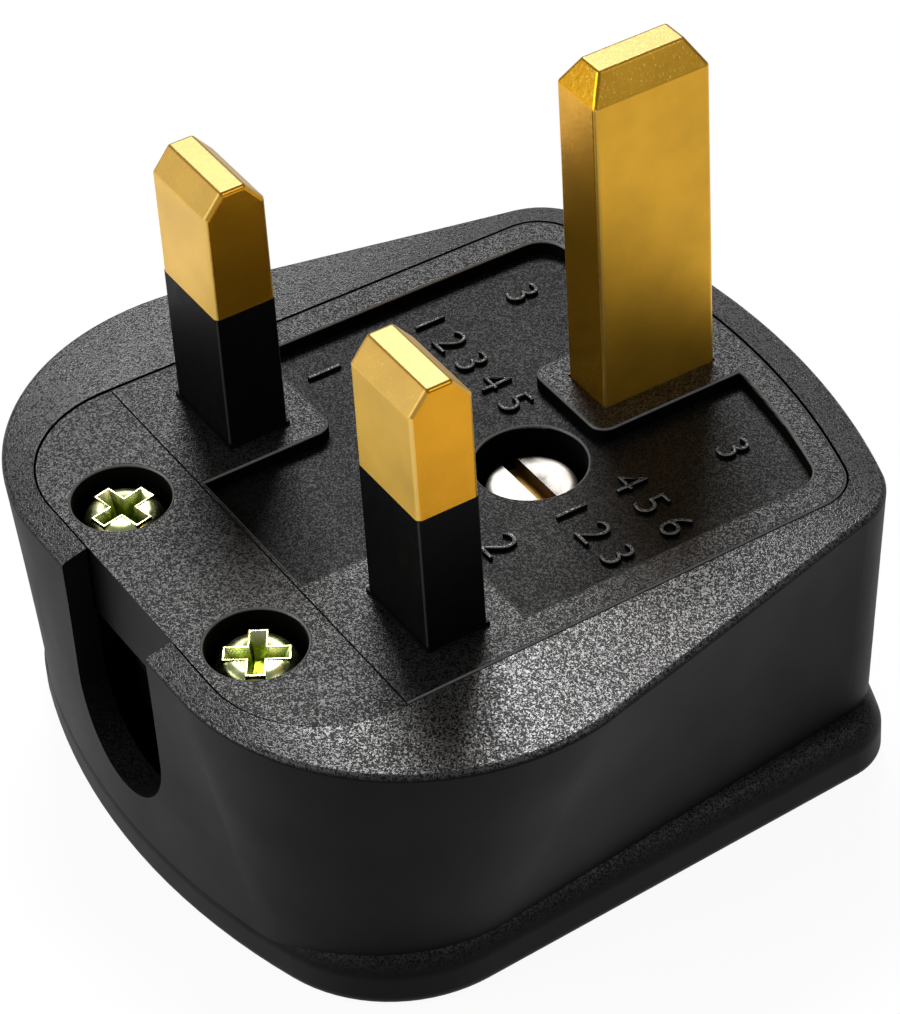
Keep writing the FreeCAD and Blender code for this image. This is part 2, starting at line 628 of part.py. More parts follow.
def make_pin_base():
    """The face insert: sunken panel, pin pads, screw holes and the boss round the cover screw."""
    body = new_body("pin_base")
    pad(body, base_outline(new_sketch(body, base_level), as_size(0)), size.base_depth)
    boss = circle(new_sketch(body, base_level), size.base_boss_diameter, size.cover_screw_x, cover_screw_y)
    pad(body, boss, size.base_boss_height, reverse=True)
    panel = shield(
        new_sketch(body, face_level),
        recess_width,
        size.recess_cord_reach,
        recess_earth_reach,
        size.base_taper,
        size.recess_corner_radius,
        size.recess_corner_radius,
        size.base_end_radius,
    )
    pocket(body, panel, size.recess_depth)

    # The pads stand in the panel and run into its wall, so only their inner corners show.
    hidden = size.pad_radius + size.recess_corner_radius
    pad_outer = recess_width / 2 + size.pad_radius
    live_inner = live_x + size.line_pin_width / 2 + size.live_pad_margin
    neutral_inner = neutral_x - size.line_pin_width / 2 - size.neutral_pad_margin
    pad_start = pin_line - size.recess_cord_reach - hidden
    pad_end = pin_line + size.line_pad_reach
    for left, right in ((neutral_inner, pad_outer), (-pad_outer, live_inner)):
        outline = rounded_rectangle(
            new_sketch(body, panel_level), left, pad_start, right, pad_end, size.pad_radius
        )
        pad(body, outline, size.recess_depth)
    half_pad = size.earth_pad_width / 2
    earth_start = earth_pin_y - size.earth_pad_reach
    earth_end = pin_line + recess_earth_reach + size.pad_radius
    outline = rounded_rectangle(
        new_sketch(body, panel_level), -half_pad, earth_start, half_pad, earth_end, size.pad_radius
    )
    pad(body, outline, size.recess_depth)
    doc.recompute()
    round_edges(body, edges_on_level(body.Shape, face_level), size.base_edge_radius)

    # The strip over the cord grip lies a little below the pads.
    strip_half = base_width / 2 * OVERRUN
    strip_start = pin_line - size.base_cord_reach * OVERRUN
    strip_end = pin_line - size.recess_cord_reach - size.strip_gap
    strip = rectangle(new_sketch(body, face_level), -strip_half, strip_start, strip_half, strip_end)
    pocket(body, strip, size.strip_drop)

    grip_passage = size.grip_screw_diameter + size.screw_passage_gap * 2
    for x in (-grip_screw_x, grip_screw_x):
        hole = circle(new_sketch(body, strip_level), size.grip_hole_diameter, x, grip_screw_y)
        pocket(body, hole, strip_level - grip_seat_level)
        passage = circle(new_sketch(body, grip_seat_level), grip_passage, x, grip_screw_y)
        pocket(body, passage, grip_seat_level - base_level)
    hole = circle(new_sketch(body, panel_level), size.cover_screw_hole, size.cover_screw_x, cover_screw_y)
    pocket(body, hole, panel_level - cover_seat_level)
    cover_passage = size.cover_screw_diameter + size.screw_passage_gap * 2
    passage = circle(new_sketch(body, cover_seat_level), cover_passage, size.cover_screw_x, cover_screw_y)
    pocket(body, passage, cover_seat_level - base_level + size.base_boss_height)
    doc.recompute()
    screw_rings = rings_on_level(body.Shape, strip_level, size.grip_hole_diameter)
    screw_rings += rings_on_level(body.Shape, panel_level, size.cover_screw_hole)
    round_edges(body, screw_rings, size.hole_edge_radius)

    pin_hole(body, as_size(0), earth_pin_y, size.earth_pin_width, size.earth_pin_thickness)
    pin_hole(body, live_x, pin_line, size.line_pin_width, size.line_pin_thickness)
    pin_hole(body, neutral_x, pin_line, size.line_pin_width, size.line_pin_thickness)
    return body


def pin_hole(body, x, y, width, length):
    half_width = width / 2 + size.pin_clearance
    half_length = length / 2 + size.pin_clearance
    sketch = new_sketch(body, face_level)
    rectangle(sketch, x - half_width, y - half_length, x + half_width, y + half_length)
    pocket(body, sketch, size.base_depth)


def wire_clamp(body, bore_start, bore_length, bore_height, block_foot, screw_y):
    """The conductor bore of a terminal block and the threaded hole of its screw."""
    bore = circle(new_sketch(body, -bore_start, "XZ_Plane"), size.wire_bore, y=bore_height)
    pocket(body, bore, bore_length)
    thread_diameter = size.terminal_screw_diameter + size.thread_clearance * 2
    thread = circle(new_sketch(body, block_foot), thread_diameter, y=screw_y)
    pocket(body, thread, bore_height - block_foot, reverse=True)


def make_earth_pin():
    """The earth pin and its terminal block, one piece of brass."""
    body = new_body("earth_pin")
    block = new_sketch(body, block_level)
    pad(body, centred_rectangle(block, size.earth_block_width, size.earth_block_length), size.block_depth)
    shoulder = face_level + size.earth_pin_height - size.earth_tip_height
    shaft = new_sketch(body, base_level)
    centred_rectangle(shaft, size.earth_pin_width, size.earth_pin_thickness)
    pad(body, shaft, shoulder - base_level)
    tip = centred_rectangle(new_sketch(body, shoulder), size.earth_pin_width, size.earth_pin_thickness)
    pad(body, tip, size.earth_tip_height, taper=-size.earth_tip_taper)
    doc.recompute()
    round_edges(body, edges_above(body.Shape, base_level), size.pin_edge_radius)
    front = -size.earth_block_length / 2
    wire_clamp(body, front, size.earth_block_length - size.wire_bore_end, bore_level, block_level, None)
    place(body, y=earth_pin_y)
    return body


def line_pin(label):
    """A current pin above the base: a root in the base, a neck for the sleeve and a bevelled head."""
    body = new_body(label)
    neck_level = face_level - size.sleeve_root
    head_level = face_level + size.sleeve_height
    tip_level = face_level + size.line_pin_height
    shoulder = tip_level - size.line_tip_height
    root = new_sketch(body, base_level)
    centred_rectangle(root, size.line_pin_width, size.line_pin_thickness)
    pad(body, root, neck_level - base_level)
    neck = new_sketch(body, neck_level)
    neck_width = size.line_pin_width - size.sleeve_wall * 2
    neck_thickness = size.line_pin_thickness - size.sleeve_wall * 2
    pad(body, centred_rectangle(neck, neck_width, neck_thickness), head_level - neck_level)
    half = size.line_pin_thickness / 2
    ridge = half - size.line_tip_inset
    gable = polygon(
        new_sketch(body, -size.line_pin_width / 2, "YZ_Plane"),
        (
            (-half, head_level),
            (half, head_level),
            (half, shoulder),
            (ridge, tip_level),
            (-ridge, tip_level),
            (-half, shoulder),
        ),
    )
    pad(body, gable, size.line_pin_width)
    doc.recompute()
    round_edges(body, edges_above(body.Shape, head_level), size.pin_edge_radius)
    return body


def make_neutral_pin():
    """The neutral pin and its terminal block, one piece of brass."""
    body = line_pin("neutral_pin")
    half_width = size.neutral_block_width / 2
    block = new_sketch(body, block_level)
    rectangle(block, -half_width, -size.neutral_block_front, half_width, size.neutral_block_back)
    pad(body, block, size.block_depth)
    bore_length = size.neutral_block_front + size.neutral_block_back - size.wire_bore_end
    front = -size.neutral_block_front
    wire_clamp(body, front, bore_length, bore_level, block_level, size.neutral_screw_reach)
    place(body, x=neutral_x, y=pin_line)
    return body


def make_live_pin():
    """The live pin, with the short tail that is riveted into its fuse clip."""
    body = line_pin("live_pin")
    tail = circle(new_sketch(body, base_level), size.rivet_diameter)
    pad(body, tail, size.clip_metal, reverse=True)
    place(body, x=live_x, y=pin_line)
    return body


def make_sleeve(label, x):
    """The moulded sleeve round the neck of a current pin, with a small collar at the face."""
    body = new_body(label)
    foot_level = face_level - size.sleeve_root
    length = size.sleeve_root + size.sleeve_height
    outer = new_sketch(body, foot_level)
    pad(body, centred_rectangle(outer, size.line_pin_width, size.line_pin_thickness), length)
    doc.recompute()
    upright = [name for name in edges_above(body.Shape, foot_level)
               if name not in edges_on_level(body.Shape, foot_level + length)]
    round_edges(body, upright, size.sleeve_edge_radius)
    collar = new_sketch(body, face_level)
    collar_width = size.line_pin_width + size.sleeve_foot_overhang * 2
    collar_length = size.line_pin_thickness + size.sleeve_foot_overhang * 2
    pad(body, centred_rectangle(collar, collar_width, collar_length), size.sleeve_foot_height)
    bore = new_sketch(body, foot_level + length)
    bore_trim = (size.sleeve_wall - size.sleeve_clearance) * 2
    bore_width = size.line_pin_width - bore_trim
    bore_thickness = size.line_pin_thickness - bore_trim
    pocket(body, centred_rectangle(bore, bore_width, bore_thickness), length)
    place(body, x=x, y=pin_line)
    return body


def make_terminal_screw(label, x, y, block_foot, bore_height):
    """A slotted screw that comes up from the cover side and clamps the conductor."""
    body = new_body(label)
    pad(body, circle(new_sketch(body), size.terminal_head_diameter), size.terminal_head_height, reverse=True)
    doc.recompute()
    head_foot = -size.terminal_head_height
    round_edges(body, edges_on_level(body.Shape, head_foot), size.screw_head_radius)
    pad(body, circle(new_sketch(body), size.terminal_screw_diameter), bore_height - block_foot)
    slot = new_sketch(body, head_foot)
    centred_rectangle(slot, size.terminal_head_diameter * OVERRUN, size.terminal_slot_width)
    pocket(body, slot, size.terminal_slot_depth, reverse=True)
    place(body, x=x, y=y, z=block_foot)
    return body


def make_live_terminal_block():
    """The brass block under the load side link of the fuse."""
    body = new_body("live_terminal_block")
    block = new_sketch(body, live_block_level)
    pad(body, centred_rectangle(block, size.live_block_width, size.live_block_length), size.block_depth)
    front = -size.live_block_length / 2
    bore_length = size.live_block_length - size.wire_bore_end
    wire_clamp(body, front, bore_length, live_bore_level, live_block_level, None)
    place(body, x=live_block_x, y=live_block_y)
    return body


def make_fuse_tube():
    """The ceramic barrel of the cartridge fuse, with its ends inside the caps."""
    body = new_body("fuse_tube")
    diameter = size.fuse_diameter - (size.fuse_cap_wall + size.fuse_clearance) * 2
    inset = size.fuse_cap_wall + size.fuse_clearance
    barrel = circle(new_sketch(body, -inset, "XZ_Plane"), diameter)
    pad(body, barrel, size.fuse_length - inset * 2, reverse=True)
    place(body, x=live_x, y=fuse_start, z=fuse_level)
    return body


def make_fuse_cap(label, end_y, towards_earth):
    """A drawn metal cap; its closed end is the end of the fuse."""
    body = new_body(label)
    cup = circle(new_sketch(body, role="XZ_Plane"), size.fuse_diameter)
    pad(body, cup, size.fuse_cap_length, reverse=towards_earth)
    doc.recompute()
    inner = size.fuse_diameter - size.fuse_cap_wall * 2
    floor = -size.fuse_cap_wall if towards_earth else size.fuse_cap_wall
    bore = circle(new_sketch(body, floor, "XZ_Plane"), inner)
    pocket(body, bore, size.fuse_cap_length, reverse=not towards_earth)
    place(body, x=live_x, y=end_y, z=fuse_level)
    return body


def clip_band(sketch):
    """The section of a fuse clip: a springy band round the cap, open towards the cover."""
    outer = clip_radius + size.clip_metal
    right_end = size.clip_mouth_angle / 2 - 90
    left_end = -size.clip_mouth_angle / 2 - 90
    start = math.radians(right_end.number)
    finish = math.radians(left_end.number + 360)

    def point(radius, angle):
        return (radius.number * math.cos(angle), radius.number * math.sin(angle))

    outside = add_arc(sketch, (0, 0), outer.number, start, finish)
    inside = add_arc(sketch, (0, 0), clip_radius.number, start, finish)
    right = add_line(sketch, point(clip_radius, start), point(outer, start))
    left = add_line(sketch, point(clip_radius, finish), point(outer, finish))
    for arc, radius in ((outside, outer), (inside, clip_radius)):
        sketch.addConstraint(Sketcher.Constraint("Coincident", -1, 1, arc, 3))
        bind(sketch, "Radius", arc, to=radius)
    for lip, arc_end, angle in ((right, 1, right_end), (left, 2, left_end)):
        sketch.addConstraint(Sketcher.Constraint("Coincident", lip, 1, inside, arc_end))
        sketch.addConstraint(Sketcher.Constraint("Coincident", lip, 2, outside, arc_end))
        sketch.addConstraint(Sketcher.Constraint("PointOnObject", -1, 1, lip))
        bind(sketch, "Angle", lip, to=angle)
    return sketch


def fuse_clip(label, y):
    """A clip of sheet metal: a flat against the base and a band round the fuse cap."""
    body = new_body(label)
    band = clip_band(new_sketch(body, size.clip_width / 2, "XZ_Plane"))
    pad(body, band, size.clip_width, reverse=True)
    flat = centred_rectangle(new_sketch(body, clip_radius), size.clip_plate_width, size.clip_width)
    pad(body, flat, size.clip_metal)
    place(body, x=live_x, y=y, z=fuse_level)
    return body


def make_live_pin_fuse_clip():
    """The clip that carries the pin end of the fuse, riveted to the live pin."""
    clip_y = fuse_start + size.fuse_cap_length / 2
    body = fuse_clip("live_pin_fuse_clip", clip_y)
    pin_y = pin_line - clip_y
    half_clip = size.clip_width / 2
    half_tongue = size.clip_tongue_width / 2
    tongue = rectangle(
        new_sketch(body, clip_radius), -half_tongue, pin_y - half_clip, half_tongue, pin_y + half_clip
    )
    pad(body, tongue, size.clip_metal)
    rivet_hole = size.rivet_diameter + size.pin_clearance * 2
    hole = circle(new_sketch(body, clip_radius + size.clip_metal), rivet_hole, y=pin_y)
    pocket(body, hole, size.clip_metal * OVERRUN)
    return body


def make_load_fuse_clip():
    """The clip at the load end of the fuse, with a link to the live terminal block."""
    clip_y = fuse_end - size.fuse_cap_length / 2
    body = fuse_clip("load_fuse_clip", clip_y)
    block_x = live_block_x - live_x
    block_left = block_x - size.live_block_width / 2
    block_right = block_x + size.live_block_width / 2
    block_start = live_block_y - clip_y - size.live_block_length / 2
    block_end = live_block_y - clip_y + size.live_block_length / 2
    flat_left = -size.clip_plate_width / 2
    half_clip = size.clip_width / 2
    link = polygon(
        new_sketch(body, clip_radius),
        (
            (flat_left, -half_clip),
            (block_left, -half_clip),
            (block_left, block_start),
            (block_right, block_start),
            (block_right, block_end),
            (block_x, block_end),
            (block_x, half_clip),
            (flat_left, half_clip),
        ),
    )
    pad(body, link, size.clip_metal)
    return body


def make_cover_screw():
    """The slotted screw that holds base and cover together."""
    body = new_body("cover_screw")
    pad(body, circle(new_sketch(body), size.cover_head_diameter), size.cover_head_height)
    doc.recompute()
    round_edges(body, edges_on_level(body.Shape, size.cover_head_height), size.screw_head_radius)
    shank_length = cover_seat_level - nut_level - size.cover_screw_end
    pad(body, circle(new_sketch(body), size.cover_screw_diameter), shank_length, reverse=True)
    slot = new_sketch(body, size.cover_head_height)
    centred_rectangle(slot, size.cover_head_diameter * OVERRUN, size.cover_slot_width)
    pocket(body, slot, size.cover_slot_depth)
    place(body, x=size.cover_screw_x, y=cover_screw_y, z=cover_seat_level)
    return body


def make_ring(label, outer_diameter, thickness, level):
    """A flat ring on the cover screw."""
    body = new_body(label)
    pad(body, circle(new_sketch(body), outer_diameter), thickness)
    bore = circle(new_sketch(body, thickness), size.cover_screw_diameter + size.thread_clearance * 2)
    pocket(body, bore, thickness)
    place(body, x=size.cover_screw_x, y=cover_screw_y, z=level)
    return body


def make_cord_grip_bar():
    """The bar that the two face screws pull up against the cord."""
    body = new_body("cord_grip_bar")
    half = size.grip_bar_length / 2
    saddle = size.grip_saddle_width / 2
    section = polygon(
        new_sketch(body, size.grip_bar_width / 2, "XZ_Plane"),
        (
            (-half, -size.grip_bar_depth),
            (half, -size.grip_bar_depth),
            (half, size.grip_rim),
            (saddle, size.grip_rim),
            (saddle / 2, size.grip_rim - size.grip_saddle_depth),
            (-saddle / 2, size.grip_rim - size.grip_saddle_depth),
            (-saddle, size.grip_rim),
            (-half, size.grip_rim),
        ),
    )
    pad(body, section, size.grip_bar_width, reverse=True)
    thread = size.grip_screw_diameter + size.thread_clearance * 2
    for x in (-grip_screw_x, grip_screw_x):
        hole = circle(new_sketch(body, size.grip_rim), thread, x=x)
        pocket(body, hole, size.grip_bar_depth + size.grip_rim)
    place(body, y=grip_screw_y, z=grip_bar_level)
    return body


def make_grip_screw(label, x):
    """A pan head screw with a cross recess, from the face down into the cord grip bar."""
    body = new_body(label)
    pad(body, circle(new_sketch(body), size.grip_head_diameter), size.grip_head_height)
    doc.recompute()
    round_edges(body, edges_on_level(body.Shape, size.grip_head_height), size.grip_head_radius)
    shank_length = grip_seat_level - grip_foot_level + size.grip_screw_end
    pad(body, circle(new_sketch(body), size.grip_screw_diameter), shank_length, reverse=True)
    for width, length in (
        (size.grip_cross_length, size.grip_cross_width),
        (size.grip_cross_width, size.grip_cross_length),
    ):
        arm = centred_rectangle(new_sketch(body, size.grip_head_height), width, length)
        pocket(body, arm, size.grip_cross_depth)
    place(body, x=x, y=grip_screw_y, z=grip_seat_level)
    return body


PIECES = [
    make_rear_cover(),
    make_pin_base(),
    make_earth_pin(),
    make_neutral_pin(),
    make_live_pin(),
    make_sleeve("neutral_pin_sleeve", neutral_x),
    make_sleeve("live_pin_sleeve", live_x),
    make_live_terminal_block(),
    make_terminal_screw("earth_terminal_screw", None, earth_pin_y, block_level, bore_level),
    make_terminal_screw(
        "neutral_terminal_screw", neutral_x, pin_line + size.neutral_screw_reach, block_level, bore_level
    ),
    make_terminal_screw("live_terminal_screw", live_block_x, live_block_y, live_block_level, live_bore_level),
    make_fuse_tube(),
    make_fuse_cap("fuse_cap_pin_end", fuse_start, True),
    make_fuse_cap("fuse_cap_load_end", fuse_end, False),
    make_live_pin_fuse_clip(),
    make_load_fuse_clip(),
    make_cover_screw(),
    make_ring("cover_nut", size.nut_diameter, size.nut_length, nut_level),
    make_ring("cover_screw_washer", size.washer_diameter, size.washer_thickness, washer_level),
    make_cord_grip_bar(),
    make_grip_screw("cord_grip_screw_left", -grip_screw_x),
    make_grip_screw("cord_grip_screw_right", grip_screw_x),
]
doc.recompute()

for item in doc.Objects:
    if "Invalid" in item.State or "Error" in item.State:
        raise RuntimeError(f"{item.Name} did not build: {item.State}")
for item in doc.Objects:
    if item.TypeId == "PartDesign::Pocket" and item.Shape.Volume >= item.BaseFeature.Shape.Volume:
        raise RuntimeError(f"{item.Name} cut nothing")
for piece in PIECES:
    if piece.Shape.isNull() or not piece.Shape.isValid():
        raise RuntimeError(f"{piece.Label} has no valid shape")

os.makedirs("parts", exist_ok=True)
for piece in PIECES:
    piece.Shape.exportStep(f"parts/{piece.Label}.step")
    box = piece.Shape.BoundBox
    print(f"{piece.Label:24s} {len(piece.Shape.Solids)} solid  {piece.Shape.Volume:9.2f} mm3  "
          f"z {box.ZMin:6.2f} to {box.ZMax:6.2f}")
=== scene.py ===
# %% [markdown]
# # A rewirable mains plug, dressed for its picture
# The solids of the plug come from the construction model, already at their true size and place.
# This lesson gives each of them its finish, adds small raised numbers on the face, cuts the cord grip
# screws in full detail, and sets up the camera and the light. All lengths are in metres, because
# that is Blender's own unit.

# %% Load the solids
import json
import math

import bmesh
import bpy
from mathutils import Euler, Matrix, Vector


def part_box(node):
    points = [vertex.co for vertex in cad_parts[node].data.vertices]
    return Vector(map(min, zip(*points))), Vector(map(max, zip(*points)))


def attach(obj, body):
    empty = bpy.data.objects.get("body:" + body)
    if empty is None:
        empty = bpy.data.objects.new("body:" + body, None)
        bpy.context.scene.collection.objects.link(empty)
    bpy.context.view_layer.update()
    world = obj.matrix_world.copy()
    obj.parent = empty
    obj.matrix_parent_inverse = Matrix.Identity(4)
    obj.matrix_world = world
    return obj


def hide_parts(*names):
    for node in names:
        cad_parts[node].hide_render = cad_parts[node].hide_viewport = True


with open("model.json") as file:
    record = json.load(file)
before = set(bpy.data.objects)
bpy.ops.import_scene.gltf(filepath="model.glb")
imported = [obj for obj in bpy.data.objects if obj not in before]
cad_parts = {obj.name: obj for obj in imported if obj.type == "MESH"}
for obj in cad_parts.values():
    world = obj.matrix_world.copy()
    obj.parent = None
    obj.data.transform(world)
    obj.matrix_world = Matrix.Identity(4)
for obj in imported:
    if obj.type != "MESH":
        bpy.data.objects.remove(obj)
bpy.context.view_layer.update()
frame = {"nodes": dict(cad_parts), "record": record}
nodes = frame["nodes"]
MM = 0.001
print("solids loaded:", len(nodes))

# %% [markdown]
# ## Where things are
# The face of the plug is the level that the pins stand on, and the line of the two current pins is
# the line that every other place on the face is measured from. Both could be typed in, but they are
# read from the solids, so that the numbers and the patterns stay with the plug when its size changes.

# %% Levels and lines
live_low, live_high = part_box("live_pin")
FACE_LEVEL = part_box("rear_cover")[1].z
PIN_LINE = (live_low.y + live_high.y) / 2
PANEL_DEPTH = 1.0 * MM
PANEL_LEVEL = FACE_LEVEL - PANEL_DEPTH
print("face level", round(FACE_LEVEL / MM, 2), "mm, pin line", round(PIN_LINE / MM, 2), "mm")

# %% [markdown]
# ## Camera
# The picture looks down on the face from the cord end, past the neutral pin, through a long lens.
# The camera could be moved about by eye until the picture looks right. Here its place was worked out
# from the pins, whose spacing is fixed for every plug of this kind, because that fixes the scale too.
# The long side of the picture is its height, so the lens is measured against the sensor's height.

# %% Place the camera
CAMERA_FROM_FACE = Vector((163.80, -85.29, 153.68)) * MM
CAMERA_TURN = (math.radians(50.015), math.radians(2.982), math.radians(57.776))
LENS = 145.73
SENSOR = 36.0
NEAREST = 5 * MM
camera_data = bpy.data.cameras.new("camera")
camera_data.lens = LENS
camera_data.sensor_width = SENSOR
camera_data.sensor_fit = "AUTO"
camera_data.clip_start = NEAREST
camera = bpy.data.objects.new("camera", camera_data)
camera.location = CAMERA_FROM_FACE + Vector((0, PIN_LINE, FACE_LEVEL))
camera.rotation_euler = Euler(CAMERA_TURN, "XYZ")
bpy.context.scene.collection.objects.link(camera)
bpy.context.scene.camera = camera
print("camera at", [round(c / MM, 1) for c in camera.location], "mm")

# %% [markdown]
# ## Node helpers
# A material is a small network of nodes. It could be drawn by hand in the shader editor, but written as
# code, each finish below reads as a short list of steps. The first helpers make a material or a shared
# group of nodes, connect two sockets, and read where on the plug a point lies and which way its surface
# looks. Every shared group has an input for wear and painted highlight, so that each material sets its
# own: it scales the real scratches of the tumbling marks and the painted edge highlights of the others.


# %% Helpers for materials and groups
def link(tree, source, target):
    tree.links.new(source, target)


def new_material(name):
    material = bpy.data.materials.new(name)
    material.use_nodes = True
    tree = material.node_tree
    return material, tree, tree.nodes["Principled BSDF"]


def new_group(name, outputs):
    """A group of nodes, its input for wear and painted highlight, and the sockets of its named outputs."""
    group = bpy.data.node_groups.new(name, "ShaderNodeTree")
    group.interface.new_socket("Wear_and_highlight", in_out="INPUT", socket_type="NodeSocketFloat")
    for output in outputs:
        group.interface.new_socket(output, in_out="OUTPUT", socket_type="NodeSocketFloat")
    wear_and_highlight = group.nodes.new("NodeGroupInput").outputs["Wear_and_highlight"]
    return group, wear_and_highlight, group.nodes.new("NodeGroupOutput").inputs


def use_group(tree, group, wear_and_highlight):
    """The outputs of a shared group, placed in a material with its own wear and painted highlight."""
    node = tree.nodes.new("ShaderNodeGroup")
    node.node_tree = group
    node.inputs["Wear_and_highlight"].default_value = wear_and_highlight
    return node.outputs


def object_place(tree):
    return tree.nodes.new("ShaderNodeTexCoord").outputs["Object"]


def split(tree, vector):
    node = tree.nodes.new("ShaderNodeSeparateXYZ")
    link(tree, vector, node.inputs["Vector"])
    return node.outputs


def surface_direction(tree):
    """The three parts of the direction that the surface looks in."""
    return split(tree, tree.nodes.new("ShaderNodeNewGeometry").outputs["Normal"])


def bump(tree, shader, height, distance):
    node = tree.nodes.new("ShaderNodeBump")
    node.inputs["Strength"].default_value = 1.0
    node.inputs["Distance"].default_value = distance
    link(tree, height, node.inputs["Height"])
    link(tree, node.outputs["Normal"], shader.inputs["Normal"])


print("material helpers ready")

# %% [markdown]
# The other helpers work on numbers and colours. A noise runs from 0 to 1, but most of it lies near its
# middle value, so a finish that follows a noise spreads that narrow range over the values that it needs.

# %% Helpers for numbers
NOISE_MIDDLE = 0.5
NOISE_RANGE = (0.3, 0.7)


def noise(tree, place, grain_size, detail=2.0, distortion=0.0):
    """Noise whose lumps are about grain_size metres wide."""
    node = tree.nodes.new("ShaderNodeTexNoise")
    node.inputs["Scale"].default_value = 1 / grain_size
    node.inputs["Detail"].default_value = detail
    node.inputs["Distortion"].default_value = distortion
    link(tree, place, node.inputs["Vector"])
    return node.outputs["Fac"]


def maths(tree, operation, first, second):
    """The result of an operation on two values, each a socket or a number."""
    node = tree.nodes.new("ShaderNodeMath")
    node.operation = operation
    for socket, value in zip(node.inputs, (first, second)):
        if isinstance(value, (int, float)):
            socket.default_value = value
        else:
            link(tree, value, socket)
    return node.outputs["Value"]


def absolute(tree, value):
    return maths(tree, "ABSOLUTE", value, 0.0)


def product(tree, first, *others):
    for other in others:
        first = maths(tree, "MULTIPLY", first, other)
    return first


def spread(tree, value, low, high, to_low, to_high):
    """The value, moved from the range low to high into the range to_low to to_high."""
    node = tree.nodes.new("ShaderNodeMapRange")
    node.inputs["From Min"].default_value = low
    node.inputs["From Max"].default_value = high
    node.inputs["To Min"].default_value = to_low
    node.inputs["To Max"].default_value = to_high
    link(tree, value, node.inputs["Value"])
    return node.outputs["Result"]


def number_between(tree, factor, first, second):
    """The first number where the factor is 0, the second where it is 1."""
    return spread(tree, factor, 0.0, 1.0, first, second)


print("number helpers ready")


# %% Helpers for colours
def between(tree, factor, first, second):
    """A colour between two others, each a socket or three numbers."""
    node = tree.nodes.new("ShaderNodeMix")
    node.data_type = "RGBA"
    link(tree, factor, node.inputs["Factor"])
    for socket, value in ((node.inputs[6], first), (node.inputs[7], second)):
        if isinstance(value, tuple):
            socket.default_value = (*value, 1)
        else:
            link(tree, value, socket)
    return node.outputs[2]


def grey(level):
    return (level, level, level)


print("colour helpers ready")

# %% [markdown]
# ## Shared effect: painted edge highlights
# Rounded edges catch thin lines of light, and this group paints them: the materials turn their edges
# paler, a painted highlight, with a little real rubbing where an edge is handled or goes into a socket.
# The edges could be marked one by one, or found by how sharply the mesh bends, but the solids have large
# flat triangles with few points to bend at. On a piece with square sides, a face looks along one axis and
# a rounded edge looks along two, so the product of two parts of its direction is large only on the
# edges. The group gives the upright edges and all the edges apart.

# %% Build the edge group
EDGE_RANGE = (0.28, 0.46)


def build_edge_group():
    group, wear_and_highlight, outputs = new_group("painted_edge_highlights", ("Upright", "All"))
    facing = surface_direction(group)
    upright, along_y, along_x = [
        absolute(group, product(group, facing[first], facing[second]))
        for first, second in ("XY", "XZ", "YZ")
    ]
    flat_edges = maths(group, "MAXIMUM", along_y, along_x)
    every_edge = maths(group, "MAXIMUM", upright, flat_edges)
    for edges, output in ((upright, "Upright"), (every_edge, "All")):
        # painted highlight: how far a point lies on an edge, scaled by the input
        painted_highlight = spread(group, edges, *EDGE_RANGE, 0.0, 1.0)
        link(group, product(group, painted_highlight, wear_and_highlight), outputs[output])
    return group


edge_group = build_edge_group()
print("edge group ready")

# %% [markdown]
# ## Shared effect: moulded grain
# The steel mould of such a plug is spark-eroded, which leaves a leathery grain of small soft wrinkles
# on the plastic. Modelled, it would take millions of faces, so a bump, a paler colour on the crests as a
# painted glint, and small changes of shine stand for it. The wrinkles follow the line where a noise has
# its middle value, because that line winds about like a worm. A slower noise makes some places a little
# shinier than others. The mould slides along the walls, so they come out smoother: the group measures how
# far a surface looks up and weakens the grain where it doesn't. It also finds the rounded edges, which
# look neither up nor sideways, and gives them as the Edge output for a painted edge highlight.

# %% Build the grain group
WRINKLE = 0.19 * MM
WRINKLE_BEND = 0.6
CREST_WIDTH = 0.13
PATCH = 5.0 * MM
WALL_GRAIN = 0.35
UPWARD_RANGE = (0.2, 0.8)
OFF_SIDE_RANGE = (0.25, 0.55)
OFF_TOP_RANGE = (0.88, 0.97)


def build_grain_group():
    group, wear_and_highlight, outputs = new_group("moulded_grain", ("Crest", "Height", "Mottle", "Upward", "Edge"))
    place = object_place(group)
    wrinkles = noise(group, place, WRINKLE, detail=1.0, distortion=WRINKLE_BEND)
    off_middle = absolute(group, maths(group, "SUBTRACT", wrinkles, NOISE_MIDDLE))
    crest = spread(group, off_middle, 0.0, CREST_WIDTH, 1.0, 0.0)
    looks_up = surface_direction(group)["Z"]
    upward = spread(group, looks_up, *UPWARD_RANGE, 0.0, 1.0)
    off_side = spread(group, looks_up, *OFF_SIDE_RANGE, 0.0, 1.0)
    off_top = spread(group, looks_up, *OFF_TOP_RANGE, 1.0, 0.0)
    weight = number_between(group, upward, WALL_GRAIN, 1.0)
    link(group, crest, outputs["Crest"])
    link(group, product(group, crest, weight), outputs["Height"])
    link(group, noise(group, place, PATCH, detail=4.0), outputs["Mottle"])
    link(group, upward, outputs["Upward"])
    # Edge: the rounded edges, scaled by the input, for a painted edge highlight
    link(group, product(group, off_side, off_top, wear_and_highlight), outputs["Edge"])
    return group


grain_group = build_grain_group()
print("wrinkles of", round(WRINKLE / MM, 2), "mm")

# %% [markdown]
# ## Black moulded plastic
# The housing and the face insert are the same black plastic. Black plastic is never pure black: its
# colour is a very dark grey, and what shows is the light that its grain throws back. The crests of the
# grain get a paler grey, a painted glint, and a smoother shine, and the hollows between them stay dull.
# The walls, the floor of the sunken panel and the lip below the walls get less of it, a painted shade,
# and their levels pick the panel and the lip out. The housing's crests get the palest grey, a painted
# sheen on its rim. The edges of the insert are painted pale, a painted edge highlight.

